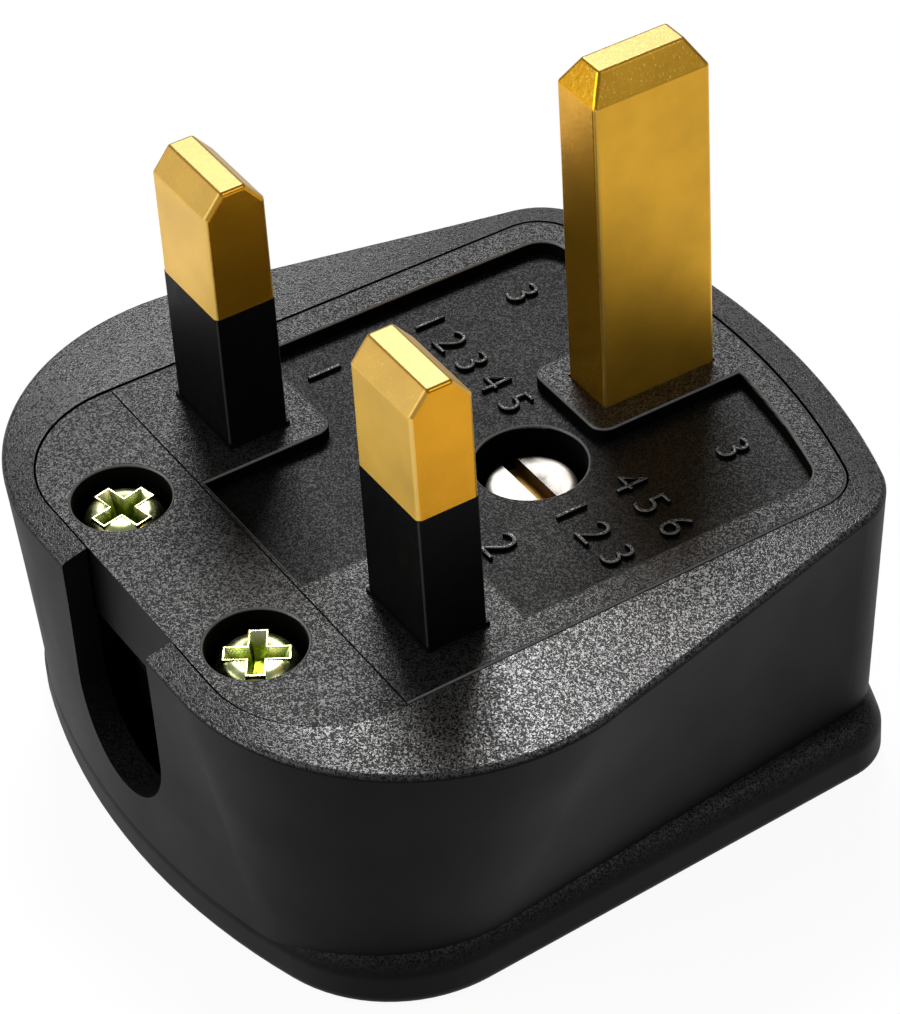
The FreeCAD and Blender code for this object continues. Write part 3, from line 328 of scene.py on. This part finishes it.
# %% Where the painted sheen falls
PANEL_BAND = 0.10 * MM
PANEL_SHEEN = 0.42
LIP_LEVEL = FACE_LEVEL - 11 * MM
LIP_FADE = 3 * MM
LIP_SHEEN = 0.30


def sheen_share(tree, upward):
    """How much painted sheen a point gets: less on the panel's floor, on the lip and on the walls, a
    painted shade.
    """
    level = split(tree, object_place(tree))["Z"]
    from_panel = absolute(tree, maths(tree, "SUBTRACT", level, PANEL_LEVEL))
    off_panel = maths(tree, "GREATER_THAN", from_panel, PANEL_BAND)
    # painted shade: the panel's floor gets only part of the sheen
    off_panel_sheen = number_between(tree, off_panel, PANEL_SHEEN, 1.0)
    # painted shade: the lip gets less sheen, which fades in above it
    above_lip = spread(tree, level, LIP_LEVEL, LIP_LEVEL + LIP_FADE, LIP_SHEEN, 1.0)
    return product(tree, above_lip, off_panel_sheen, upward)


print("lip below", round(LIP_LEVEL / MM, 2), "mm")

# %% [markdown]
# The hollows have to lose their shine. A plain mirror strength can't do it, because it is one number for
# the whole material. But a metal reflects in its own colour, so a black metal reflects almost nothing.
# That makes Metallic a handy mask for shine: it is high in the hollows and zero on the crests.

# %% Housing plastic
GRAIN_DEPTH = 0.006 * MM
CREST_RANGE = (0.25, 0.75)
HOLLOW_GREY = 0.003
HOLLOW_METAL = (0.90, 0.70)
HOLLOW_ROUGHNESS = (0.60, 0.50)
MOTTLE_ROUGHNESS = 0.03
EDGE_HIGHLIGHT_GREY = 0.10


def housing_plastic(name, glint_grey, crest_roughness, mirror, edge_highlight):
    """Black plastic whose crests have the given painted glint grey, roughness and mirror strength."""
    material, tree, shader = new_material(name)
    grain = use_group(tree, grain_group, edge_highlight)
    sheen = sheen_share(tree, grain["Upward"])
    crest = spread(tree, grain["Crest"], *CREST_RANGE, 0.0, 1.0)
    crest_glint = product(tree, crest, sheen)
    # painted glint: the crests turn paler where the sheen share is high
    colour = between(tree, crest_glint, grey(HOLLOW_GREY), grey(glint_grey))
    # painted edge highlight: the edges turn a paler grey
    link(tree, between(tree, grain["Edge"], colour, grey(EDGE_HIGHLIGHT_GREY)), shader.inputs["Base Color"])
    painted_highlight = maths(tree, "MAXIMUM", crest_glint, grain["Edge"])
    unhighlighted = number_between(tree, painted_highlight, 1.0, 0.0)
    metal = number_between(tree, sheen, *HOLLOW_METAL)
    link(tree, product(tree, metal, unhighlighted), shader.inputs["Metallic"])
    in_hollow = product(tree, number_between(tree, sheen, *HOLLOW_ROUGHNESS), unhighlighted)
    roughness = maths(tree, "ADD", in_hollow, product(tree, painted_highlight, crest_roughness))
    mottle = spread(tree, grain["Mottle"], *NOISE_RANGE, -MOTTLE_ROUGHNESS, MOTTLE_ROUGHNESS)
    link(tree, maths(tree, "ADD", roughness, mottle), shader.inputs["Roughness"])
    shader.inputs["Specular IOR Level"].default_value = mirror
    bump(tree, shader, grain["Height"], GRAIN_DEPTH)
    return material


print("grain", round(GRAIN_DEPTH / MM, 3), "mm deep")

# %% [markdown]
# The sleeves of the two current pins are a smoother black plastic with a soft ripple. They need no grain,
# so one noise serves their colour, shine and bump. Their edges are painted a little grey, a painted edge
# highlight.

# %% Sleeve plastic
SLEEVE_RIPPLE = 0.9 * MM
SLEEVE_DEPTH = 0.008 * MM
SLEEVE_COLOURS = ((0.0015, 0.0015, 0.0016), (0.003, 0.003, 0.0032))
SLEEVE_ROUGHNESS = (0.36, 0.44)
SLEEVE_MIRROR = 0.05
SLEEVE_HIGHLIGHT_GREY = 0.028
SLEEVE_HIGHLIGHT = 1.0


def sleeve_plastic():
    material, tree, shader = new_material("sleeve_plastic")
    ripple = noise(tree, object_place(tree), SLEEVE_RIPPLE)
    edges = use_group(tree, edge_group, SLEEVE_HIGHLIGHT)
    colour = between(tree, ripple, *SLEEVE_COLOURS)
    # painted edge highlight: the edges turn a little grey
    link(tree, between(tree, edges["All"], colour, grey(SLEEVE_HIGHLIGHT_GREY)), shader.inputs["Base Color"])
    roughness = spread(tree, ripple, *NOISE_RANGE, *SLEEVE_ROUGHNESS)
    link(tree, roughness, shader.inputs["Roughness"])
    shader.inputs["Specular IOR Level"].default_value = SLEEVE_MIRROR
    bump(tree, shader, ripple, SLEEVE_DEPTH)
    return material


print("sleeve ripple of", round(SLEEVE_RIPPLE / MM, 1), "mm")

# %% [markdown]
# ## Brass
# The pins are drawn brass bar. Their wide faces come from the drawing die with a satin skin, and their
# narrow ends are ground and polished, so the wide faces are rougher. The two also get colours of their own,
# which are painted light and shade: on each pin, one is paler and one a deeper amber, as the lamps fall on
# them. Each could be a material of its own on its own faces, but then they would meet in a hard line. The
# way a face looks tells the two apart instead, and blends them over the rounded edges. The sloping
# shoulders are painted darker, a painted shade, and the flat tip has a darker colour of its own. The
# upright edges are painted pale, a painted edge highlight. Use leaves short scratches on the shoulders
# and the tip, and tumbling leaves a slight orange peel over all of them.

# %% Shared effect: tumbling marks
SCRATCH_LENGTH = 3.0 * MM
SCRATCH_WIDTH = 0.10 * MM
SCRATCH_TILT = (0.4, 0.3, 0.2)
SCRATCH_RANGE = (0.60, 0.76)
SCRATCH_STRENGTH = 0.7
PEEL = 0.35 * MM
TARNISH_PATCH = 4.0 * MM


def build_tumbling_group():
    group, wear_and_highlight, outputs = new_group("tumbling_marks", ("Scratches", "Peel", "Tarnish"))
    place = object_place(group)
    along = group.nodes.new("ShaderNodeMapping")
    along.inputs["Rotation"].default_value = SCRATCH_TILT
    along.inputs["Scale"].default_value = (1, 1, SCRATCH_WIDTH / SCRATCH_LENGTH)
    link(group, place, along.inputs["Vector"])
    streaks = noise(group, along.outputs["Vector"], SCRATCH_WIDTH)
    scratches = spread(group, streaks, *SCRATCH_RANGE, 0.0, SCRATCH_STRENGTH)
    link(group, product(group, scratches, wear_and_highlight), outputs["Scratches"])
    link(group, noise(group, place, PEEL, detail=1.0), outputs["Peel"])
    link(group, noise(group, place, TARNISH_PATCH, detail=5.0), outputs["Tarnish"])
    return group


tumbling_group = build_tumbling_group()
print("scratches of", round(SCRATCH_LENGTH / MM, 1), "mm")

# %% Brass of the pins and clips
BLACK = (0.0, 0.0, 0.0)
TIP_BRASS = (0.24, 0.175, 0.06)
EDGE_BRASS = (0.95, 0.66, 0.20)
BRASS_EDGE_HIGHLIGHT = 0.45
SLOPE_SHADE = 0.58
TARNISH_SHADE = 0.80
WIDE_RANGE = (0.3, 0.8)
SLOPE_RANGE = (0.2, 0.6)
TIP_RANGE = (0.85, 0.97)
POLISHED_ROUGHNESS = 0.26
SATIN_ROUGHNESS = 0.42
PEEL_ROUGHNESS = 0.012
PEEL_DEPTH = 0.006 * MM


def brass(name, wide_axis, wide_colour, narrow_colour, wide_metal, narrow_metal, wear_and_highlight):
    """Brass whose wide faces look along wide_axis. Wide faces and narrow ends get the two given colours,
    painted light and shade; the last argument scales its scratches.
    """
    material, tree, shader = new_material(name)
    marks = use_group(tree, tumbling_group, wear_and_highlight)
    edges = use_group(tree, edge_group, BRASS_EDGE_HIGHLIGHT)
    facing = surface_direction(tree)
    wide = spread(tree, absolute(tree, facing[wide_axis]), *WIDE_RANGE, 0.0, 1.0)
    sloping = spread(tree, facing["Z"], *SLOPE_RANGE, 0.0, 1.0)
    tip = spread(tree, facing["Z"], *TIP_RANGE, 0.0, 1.0)
    tarnish = spread(tree, marks["Tarnish"], *NOISE_RANGE, TARNISH_SHADE, 1.0)
    # painted shade: the sloping shoulders are darker
    shade = product(tree, tarnish, number_between(tree, sloping, 1.0, SLOPE_SHADE))
    # painted light and shade: the wide faces and the narrow ends get their own colours
    facing_colour = between(tree, wide, narrow_colour, wide_colour)
    shaded_colour = between(tree, shade, BLACK, facing_colour)
    # the flat tip that looks up gets a darker colour of its own
    tipped = between(tree, tip, shaded_colour, TIP_BRASS)
    scratches = product(tree, sloping, marks["Scratches"])
    scratched = between(tree, scratches, tipped, EDGE_BRASS)
    # painted edge highlight: the upright edges turn pale brass
    link(tree, between(tree, edges["Upright"], scratched, EDGE_BRASS), shader.inputs["Base Color"])
    link(tree, number_between(tree, wide, narrow_metal, wide_metal), shader.inputs["Metallic"])
    satin_skin = maths(tree, "MAXIMUM", wide, tip)
    roughness = number_between(tree, satin_skin, POLISHED_ROUGHNESS, SATIN_ROUGHNESS)
    uneven = spread(tree, marks["Peel"], *NOISE_RANGE, -PEEL_ROUGHNESS, PEEL_ROUGHNESS)
    link(tree, maths(tree, "ADD", roughness, uneven), shader.inputs["Roughness"])
    bump(tree, shader, marks["Peel"], PEEL_DEPTH)
    return material


print("orange peel of", round(PEEL / MM, 2), "mm")

# %% [markdown]
# ## Plated steel and the pieces inside
# The cover screw is nickel plated, and the cord grip screws have the yellow-green film of passivated
# zinc. A slot or a recess gets a darker colour, a painted shade, brown in the slot of the cover screw.
# The faces of a slot could be picked by hand and coloured, but the depth below the top of the head finds
# them without that, and mixes in the painted shade. The pieces inside the plug are bright steel, fired
# clay and pressed fibre.

# %% Plated metals, ceramic and fibre
FILM_RANGE = (0.35, 0.65)
FILM_ROUGHNESS = 0.07
FILM_DEPTH = 0.006 * MM
SPECKLE_DEPTH = 0.02 * MM


def plated(name, first, second, patch, roughness, recess_shade=None, top=0.0, depth=1.0):
    """A plated metal, with a painted shade colour in the slot or recess, down to depth below top."""
    material, tree, shader = new_material(name)
    place = object_place(tree)
    film = noise(tree, place, patch, detail=4.0)
    colour = between(tree, spread(tree, film, *FILM_RANGE, 0.0, 1.0), first, second)
    if recess_shade:
        # painted shade: a darker colour in the slot or recess
        sunk = spread(tree, split(tree, place)["Z"], top - depth, top, 1.0, 0.0)
        colour = between(tree, sunk, colour, recess_shade)
    link(tree, colour, shader.inputs["Base Color"])
    shader.inputs["Metallic"].default_value = 1.0
    smooth, rough = roughness - FILM_ROUGHNESS, roughness + FILM_ROUGHNESS
    link(tree, spread(tree, film, *NOISE_RANGE, smooth, rough), shader.inputs["Roughness"])
    bump(tree, shader, film, FILM_DEPTH)
    return material


def dull(name, first, second, patch, roughness):
    material, tree, shader = new_material(name)
    speckle = noise(tree, object_place(tree), patch, detail=3.0)
    colour = between(tree, spread(tree, speckle, *NOISE_RANGE, 0.0, 1.0), first, second)
    link(tree, colour, shader.inputs["Base Color"])
    shader.inputs["Roughness"].default_value = roughness
    bump(tree, shader, speckle, SPECKLE_DEPTH)
    return material


print("plating film", round(FILM_DEPTH / MM, 3), "mm deep")

# %% [markdown]
# ## Every solid gets its finish
# The record of the construction model says which finish each solid has, so a table of finishes and one
# loop dress them all. The housing has a stronger mirror than the insert and paler crests, a painted
# sheen, and the earth pin has its wide faces on the other axis, so these two solids get a finish of their
# own.

# %% Make the finishes
COVER_SCREW_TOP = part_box("cover_screw")[1].z
GRIP_SCREW_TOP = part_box("cord_grip_screw_right")[1].z
FINISHES = {
    "housing_plastic": housing_plastic(
        "insert_plastic", glint_grey=0.016, crest_roughness=0.30, mirror=0.22, edge_highlight=1.0,
    ),
    "sleeve_plastic": sleeve_plastic(),
    "pin_brass": brass(
        "pin_brass", "Y", wide_colour=(0.76, 0.46, 0.07), narrow_colour=(0.72, 0.33, 0.012),
        wide_metal=0.5, narrow_metal=0.88, wear_and_highlight=0.3,
    ),
    "clip_brass": brass(
        "clip_brass", "Z", wide_colour=(0.82, 0.58, 0.22), narrow_colour=(0.70, 0.46, 0.14),
        wide_metal=0.8, narrow_metal=0.9, wear_and_highlight=0.3,
    ),
    "bright_steel": plated(
        "bright_steel", (0.60, 0.60, 0.58), (0.72, 0.72, 0.70), patch=1.5 * MM, roughness=0.27,
    ),
    "nickel_plate": plated(
        "nickel_plate", (0.05, 0.045, 0.04), (0.46, 0.44, 0.41), patch=2.2 * MM, roughness=0.52,
        # the slot colour is a painted shade
        recess_shade=(0.24, 0.14, 0.04), top=COVER_SCREW_TOP - 0.1 * MM, depth=0.4 * MM,
    ),
    "passivated_zinc": plated(
        "passivated_zinc", (0.46, 0.56, 0.27), (0.70, 0.66, 0.34), patch=0.7 * MM, roughness=0.27,
        # the recess colour is a painted shade
        recess_shade=(0.19, 0.25, 0.015), top=GRIP_SCREW_TOP - 0.12 * MM, depth=0.7 * MM,
    ),
    "fuse_ceramic": dull(
        "fuse_ceramic", (0.70, 0.67, 0.60), (0.80, 0.77, 0.70), patch=0.8 * MM, roughness=0.55,
    ),
    "washer_fibre": dull(
        "washer_fibre", (0.26, 0.08, 0.05), (0.34, 0.12, 0.08), patch=0.4 * MM, roughness=0.7,
    ),
}
OWN_FINISHES = {
    # the paler crest grey of the housing is a painted sheen
    "rear_cover": housing_plastic(
        "cover_plastic", glint_grey=0.040, crest_roughness=0.27, mirror=0.55, edge_highlight=0.0,
    ),
    "earth_pin": brass(
        "earth_pin_brass", "X", wide_colour=(0.76, 0.41, 0.034), narrow_colour=(0.88, 0.44, 0.014),
        wide_metal=0.92, narrow_metal=0.93, wear_and_highlight=1.0,
    ),
}
print("finishes:", ", ".join([*FINISHES, *OWN_FINISHES]))

# %% Give them to the solids
for subpart in frame["record"]["subparts"]:
    node = subpart["node"]
    finish = OWN_FINISHES.get(node, FINISHES[subpart["material_slot"]])
    for socket in nodes[node].material_slots:
        socket.material = finish

# %% [markdown]
# ## Cord grip screws
# Two screws pull a bar against the cord. Each has a pan head with a wide cross recess whose walls
# lean inwards. A punch forms the recess cold, so the metal stands up a little all round it. The head
# starts as a cylinder. Its top edge is beveled round, and its foot is inset and drawn out to the shank.
# Two low blocks then add the raised rim, and two tapered blocks cut the recess out of it. A head spun
# from a drawn profile would be as round, but a cylinder already has the flat top and foot to work on.

# %% Helpers for selecting
FLAT = 0.9


def only(piece):
    """Makes the piece the one that the next operators act on."""
    bpy.ops.object.select_all(action="DESELECT")
    piece.select_set(True)
    bpy.context.view_layer.objects.active = piece


def select_flat_faces(piece, side):
    """In edit mode, selects the faces that look up (side 1) or down (side -1), and no others."""
    bpy.ops.mesh.select_mode(type="FACE")
    bpy.ops.mesh.select_all(action="DESELECT")
    mesh = bmesh.from_edit_mesh(piece.data)
    for face in mesh.faces:
        face.select_set(face.normal.z * side > FLAT)
    bmesh.update_edit_mesh(piece.data)


print("selecting helpers ready")

# %% Pan head and shank
RIM_RISE = 0.07 * MM
HEAD_HEIGHT = 1.9 * MM
HEAD_ROUNDING = 1.0 * MM
HEAD_SIDES = 72
ROUNDING_STEPS = 8
SHANK_RADIUS = 1.5 * MM
screw_low, screw_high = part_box("cord_grip_screw_right")
screw_middle = (screw_low + screw_high) / 2
head_top = screw_high.z - RIM_RISE
head_radius = (screw_high.x - screw_low.x) / 2
bpy.ops.object.select_all(action="DESELECT")
head_middle = (screw_middle.x, screw_middle.y, head_top - HEAD_HEIGHT / 2)
bpy.ops.mesh.primitive_cylinder_add(
    vertices=HEAD_SIDES, radius=head_radius, depth=HEAD_HEIGHT, location=head_middle
)
right_screw = bpy.context.object
right_screw.name = "cord_grip_screw_right_cut"
bpy.ops.object.transform_apply(location=True, rotation=True, scale=True)
bpy.ops.object.mode_set(mode="EDIT")
select_flat_faces(right_screw, 1)
bpy.ops.mesh.bevel(offset=HEAD_ROUNDING, offset_type="OFFSET", segments=ROUNDING_STEPS, profile=0.5)
select_flat_faces(right_screw, -1)
bpy.ops.mesh.inset(thickness=head_radius - SHANK_RADIUS)
shank_length = head_top - HEAD_HEIGHT - screw_low.z
bpy.ops.mesh.extrude_region_move(TRANSFORM_OT_translate={"value": (0, 0, -shank_length)})
bpy.ops.object.mode_set(mode="OBJECT")
print("screw head", round(2 * head_radius / MM, 2), "mm across")

# %% [markdown]
# The cross could be one block with four arms, but two crossed blocks are simpler to taper. A block is drawn
# about a level, half above it and half below. Its lower end is shrunk by the taper and its upper end is
# widened as much, so that it has its given size just at that level.

# %% Helpers for the rim and the recess
def cross_block(name, length, width, level, reach, taper):
    """A block that reaches up and down from a level and tapers downwards."""
    bpy.ops.object.select_all(action="DESELECT")
    bpy.ops.mesh.primitive_cube_add(size=1, location=(screw_middle.x, screw_middle.y, level))
    block = bpy.context.object
    block.name = name
    bpy.ops.transform.resize(value=(length, width, 2 * reach))
    bpy.ops.object.transform_apply(location=True, rotation=True, scale=True)
    bpy.ops.object.mode_set(mode="EDIT")
    for side, share in ((-1, taper), (1, [2 - t for t in taper])):
        select_flat_faces(block, side)
        middle = (screw_middle.x, screw_middle.y, level + side * reach)
        bpy.ops.transform.resize(value=(share[0], share[1], 1), center_override=middle)
    bpy.ops.object.mode_set(mode="OBJECT")
    return block


def combine(piece, block, operation):
    """Adds the block to the piece or takes it away."""
    only(piece)
    joining = piece.modifiers.new("joining", "BOOLEAN")
    joining.operation = operation
    joining.solver = "EXACT"
    joining.object = block
    bpy.ops.object.modifier_apply(modifier=joining.name)
    bpy.data.objects.remove(block)


print("block helpers ready")

# %% Raised rim and cross recess
RECESS_LENGTH = 3.7 * MM
RECESS_WIDTH = 0.95 * MM
RECESS_DEPTH = 1.5 * MM
TAPER_ALONG = 0.62
TAPER_ACROSS = 0.60
RIM_WIDTH = 0.11 * MM
RIM_REACH = 0.30 * MM
UPRIGHT = (1, 1)
rim_length = RECESS_LENGTH + 2 * RIM_WIDTH
rim_width = RECESS_WIDTH + 2 * RIM_WIDTH
rim_level = screw_high.z - RIM_REACH
for name, length, width in (("along", rim_length, rim_width), ("across", rim_width, rim_length)):
    rim = cross_block("rim_" + name, length, width, rim_level, RIM_REACH, UPRIGHT)
    combine(right_screw, rim, "UNION")
for name, length, width, taper in (
    ("along", RECESS_LENGTH, RECESS_WIDTH, (TAPER_ALONG, TAPER_ACROSS)),
    ("across", RECESS_WIDTH, RECESS_LENGTH, (TAPER_ACROSS, TAPER_ALONG)),
):
    recess = cross_block("recess_" + name, length, width, screw_high.z, RECESS_DEPTH, taper)
    combine(right_screw, recess, "DIFFERENCE")
print("recess of", round(RECESS_LENGTH / MM, 2), "mm")

# %% [markdown]
# A perfectly sharp edge catches no light, and a punched one is always a little round. The edges could be
# rounded while the head is modelled, but each cut makes new ones, so the bevel comes last. The screw is
# turned first, to the angle at which the driver left it.

# %% Turn the screw and round its edges
RIGHT_TURN = math.radians(33)
EDGE_ROUNDING = 0.03 * MM
EDGE_STEPS = 2
EDGE_ANGLE = math.radians(30)
SCREW_SMOOTH_ANGLE = math.radians(35)
only(right_screw)
bpy.ops.transform.rotate(value=RIGHT_TURN, orient_axis="Z", center_override=screw_middle)
bpy.ops.object.transform_apply(location=True, rotation=True, scale=True)
edges = right_screw.modifiers.new("edges", "BEVEL")
edges.width = EDGE_ROUNDING
edges.segments = EDGE_STEPS
edges.limit_method = "ANGLE"
edges.angle_limit = EDGE_ANGLE
bpy.ops.object.modifier_apply(modifier=edges.name)
bpy.ops.object.shade_smooth_by_angle(angle=SCREW_SMOOTH_ANGLE)
print("screw of", len(right_screw.data.polygons), "faces")

# %% [markdown]
# The second screw is a copy of the first, moved to its own hole. A driver never leaves two screws at
# the same angle, so the copy is turned on its axis.

# %% Copy the screw to the other hole
LEFT_TURN = math.radians(-45)
left_low, left_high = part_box("cord_grip_screw_left")
left_middle = (left_low + left_high) / 2
only(right_screw)
bpy.ops.object.duplicate()
left_screw = bpy.context.object
left_screw.name = "cord_grip_screw_left_cut"
bpy.ops.transform.translate(value=left_middle - screw_middle)
bpy.ops.transform.rotate(value=LEFT_TURN, orient_axis="Z", center_override=left_middle)
bpy.ops.object.transform_apply(location=True, rotation=True, scale=True)
for screw, node in ((right_screw, "cord_grip_screw_right"), (left_screw, "cord_grip_screw_left")):
    screw.data.materials.append(FINISHES["passivated_zinc"])
    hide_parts(node)
    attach(screw, "root")
print("screws at x", round(screw_middle.x / MM, 2), "and", round(left_middle.x / MM, 2), "mm")

# %% [markdown]
# ## Raised numbers
# The panel carries plain numbers, one or two beside each pin and three short rows. In the mould they are
# engraved, so they stand up from the plastic with rounded edges, and their crests get a paler grey than
# the floor round them, a painted highlight. Text is the natural start: it is given a thickness and a
# bevel, made a mesh, and joined into one piece. Each line below has the text, its place from the middle
# of the pin line, and its height.

# %% Numbers on the panel
MARK_RISE = 0.34 * MM
MARK_ROOT = 0.12 * MM
MARK_ROUNDING = 0.07 * MM
MARK_ROUNDING_STEPS = 2
MARK_THINNING = 0.045 * MM
CAPITAL_SHARE = 0.70
MARKS = (
    ("1", -11.9 * MM, 6.7 * MM, 2.4 * MM),
    ("2", 8.1 * MM, 6.6 * MM, 2.4 * MM),
    ("3", -11.4 * MM, 20.9 * MM, 2.2 * MM),
    ("3", 8.8 * MM, 22.7 * MM, 2.2 * MM),
    ("1 2 3 4 5", -7.4 * MM, 14.6 * MM, 2.2 * MM),
    ("1 2 3", 10.4 * MM, 11.7 * MM, 2.2 * MM),
    ("4 5 6", 10.2 * MM, 15.9 * MM, 2.2 * MM),
)


def raised_mark(text, x, y, height):
    """A mark that stands up from the panel and has its root below it."""
    bpy.ops.object.select_all(action="DESELECT")
    middle = (MARK_RISE - MARK_ROOT) / 2
    bpy.ops.object.text_add(location=(x, PIN_LINE + y, PANEL_LEVEL + middle))
    mark = bpy.context.object
    mark.data.body = text
    mark.data.size = height / CAPITAL_SHARE
    mark.data.align_x = "CENTER"
    mark.data.align_y = "CENTER"
    mark.data.extrude = (MARK_RISE + MARK_ROOT) / 2 - MARK_ROUNDING
    mark.data.bevel_depth = MARK_ROUNDING
    mark.data.bevel_resolution = MARK_ROUNDING_STEPS
    mark.data.offset = -MARK_ROUNDING - MARK_THINNING
    bpy.ops.object.convert(target="MESH")
    bpy.ops.object.transform_apply(location=True, rotation=True, scale=True)
    return bpy.context.object


marks = [raised_mark(*mark) for mark in MARKS]
print("marks:", len(marks))

# %% Join the numbers and finish them
MARK_SMOOTH_ANGLE = math.radians(40)
only(marks[0])
for mark in marks:
    mark.select_set(True)
bpy.ops.object.join()
face_marks = bpy.context.object
face_marks.name = "face_marks"
face_marks.data.materials.clear()
# the marks' paler crest grey is a painted highlight
face_marks.data.materials.append(
    housing_plastic("mark_plastic", glint_grey=0.10, crest_roughness=0.30, mirror=0.40, edge_highlight=1.0)
)
bpy.ops.object.shade_smooth_by_angle(angle=MARK_SMOOTH_ANGLE)
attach(face_marks, "root")
print("joined into", len(face_marks.data.polygons), "faces")

# %% [markdown]
# ## Floor and light
# The plug lies on white paper. Paper in a studio is lit until it is white in the picture, but that
# much light would wash the plug out. The floor therefore looks white to the camera and to shiny
# surfaces, and keeps its true paper colour for the soft light and the shadow.

# %% Floor
FLOOR_SIZE = 4.0
PAPER_SHARE = 0.07
PAPER_FIBRE = 2.0 * MM
PAPER_GREYS = (0.84, 0.88)


def white_to_the_eye(tree):
    """One where a ray comes from the camera or from a shiny or clear surface, zero elsewhere."""
    path = tree.nodes.new("ShaderNodeLightPath").outputs
    shiny = maths(tree, "MAXIMUM", path["Is Camera Ray"], path["Is Glossy Ray"])
    return maths(tree, "MAXIMUM", shiny, path["Is Transmission Ray"])


def paper():
    material, tree, shader = new_material("white_paper")
    fibres = noise(tree, object_place(tree), PAPER_FIBRE)
    colour = between(tree, fibres, *[grey(level) for level in PAPER_GREYS])
    link(tree, colour, shader.inputs["Base Color"])
    shader.inputs["Roughness"].default_value = 1.0
    shader.inputs["Specular IOR Level"].default_value = 0.0
    glow = tree.nodes.new("ShaderNodeEmission")
    blend = tree.nodes.new("ShaderNodeMixShader")
    link(tree, product(tree, white_to_the_eye(tree), 1 - PAPER_SHARE), blend.inputs["Fac"])
    link(tree, shader.outputs["BSDF"], blend.inputs[1])
    link(tree, glow.outputs["Emission"], blend.inputs[2])
    link(tree, blend.outputs["Shader"], tree.nodes["Material Output"].inputs["Surface"])
    return material


bpy.ops.object.select_all(action="DESELECT")
bpy.ops.mesh.primitive_plane_add(size=FLOOR_SIZE, location=(0, 0, 0))
floor = bpy.context.object
floor.name = "floor"
floor.data.materials.append(paper())
print("floor", FLOOR_SIZE, "m wide")

# %% [markdown]
# A lamp behind the plug makes the grain glint, because its light meets the face at nearly the angle
# that the camera sees. A larger one on the left lights the pale sides of the pins and the cord end,
# and a weak one on the right keeps the side wall readable. One large lamp would be simpler, but black
# plastic shows little more than the lamps that it mirrors, so each lamp is placed for one part. Each
# line below has a lamp's name, its direction from the face, its width and its power in watts.

# %% Lights
LAMP_DISTANCE = 0.7
LAMPS = (
    ("back_light", (-0.555, 0.29, 0.78), 0.24, 5.2),
    ("left_light", (-0.35, -0.85, 0.42), 0.45, 3.6),
    ("right_light", (0.70, 0.33, 0.63), 0.25, 0.8),
)


def soft_light(name, direction, width, power):
    """A square lamp that stands in the given direction from the face and looks at it."""
    data = bpy.data.lights.new(name, "AREA")
    data.shape = "SQUARE"
    data.size = width
    data.energy = power
    lamp = bpy.data.objects.new(name, data)
    outward = Vector(direction).normalized()
    lamp.location = Vector((0, 0, FACE_LEVEL)) + outward * LAMP_DISTANCE
    lamp.rotation_euler = outward.to_track_quat("Z", "Y").to_euler()
    bpy.context.scene.collection.objects.link(lamp)


for lamp in LAMPS:
    soft_light(*lamp)
print("soft lights:", len(LAMPS))

# %% [markdown]
# The room adds a little white light from all sides, so that no shadow is quite black. A picture of a
# studio could do that too, but a plain white is the same from every side. The Standard view shows each
# colour about as it is written, without the softer curve that Blender starts with.

# %% Surroundings
AMBIENT = 0.30
world = bpy.data.worlds.new("studio")
world.use_nodes = True
bpy.context.scene.world = world
sky = world.node_tree.nodes["Background"]
sky.inputs["Color"].default_value = (1, 1, 1, 1)
sky.inputs["Strength"].default_value = AMBIENT
bpy.context.scene.view_settings.view_transform = "Standard"
print("ambient light", AMBIENT)
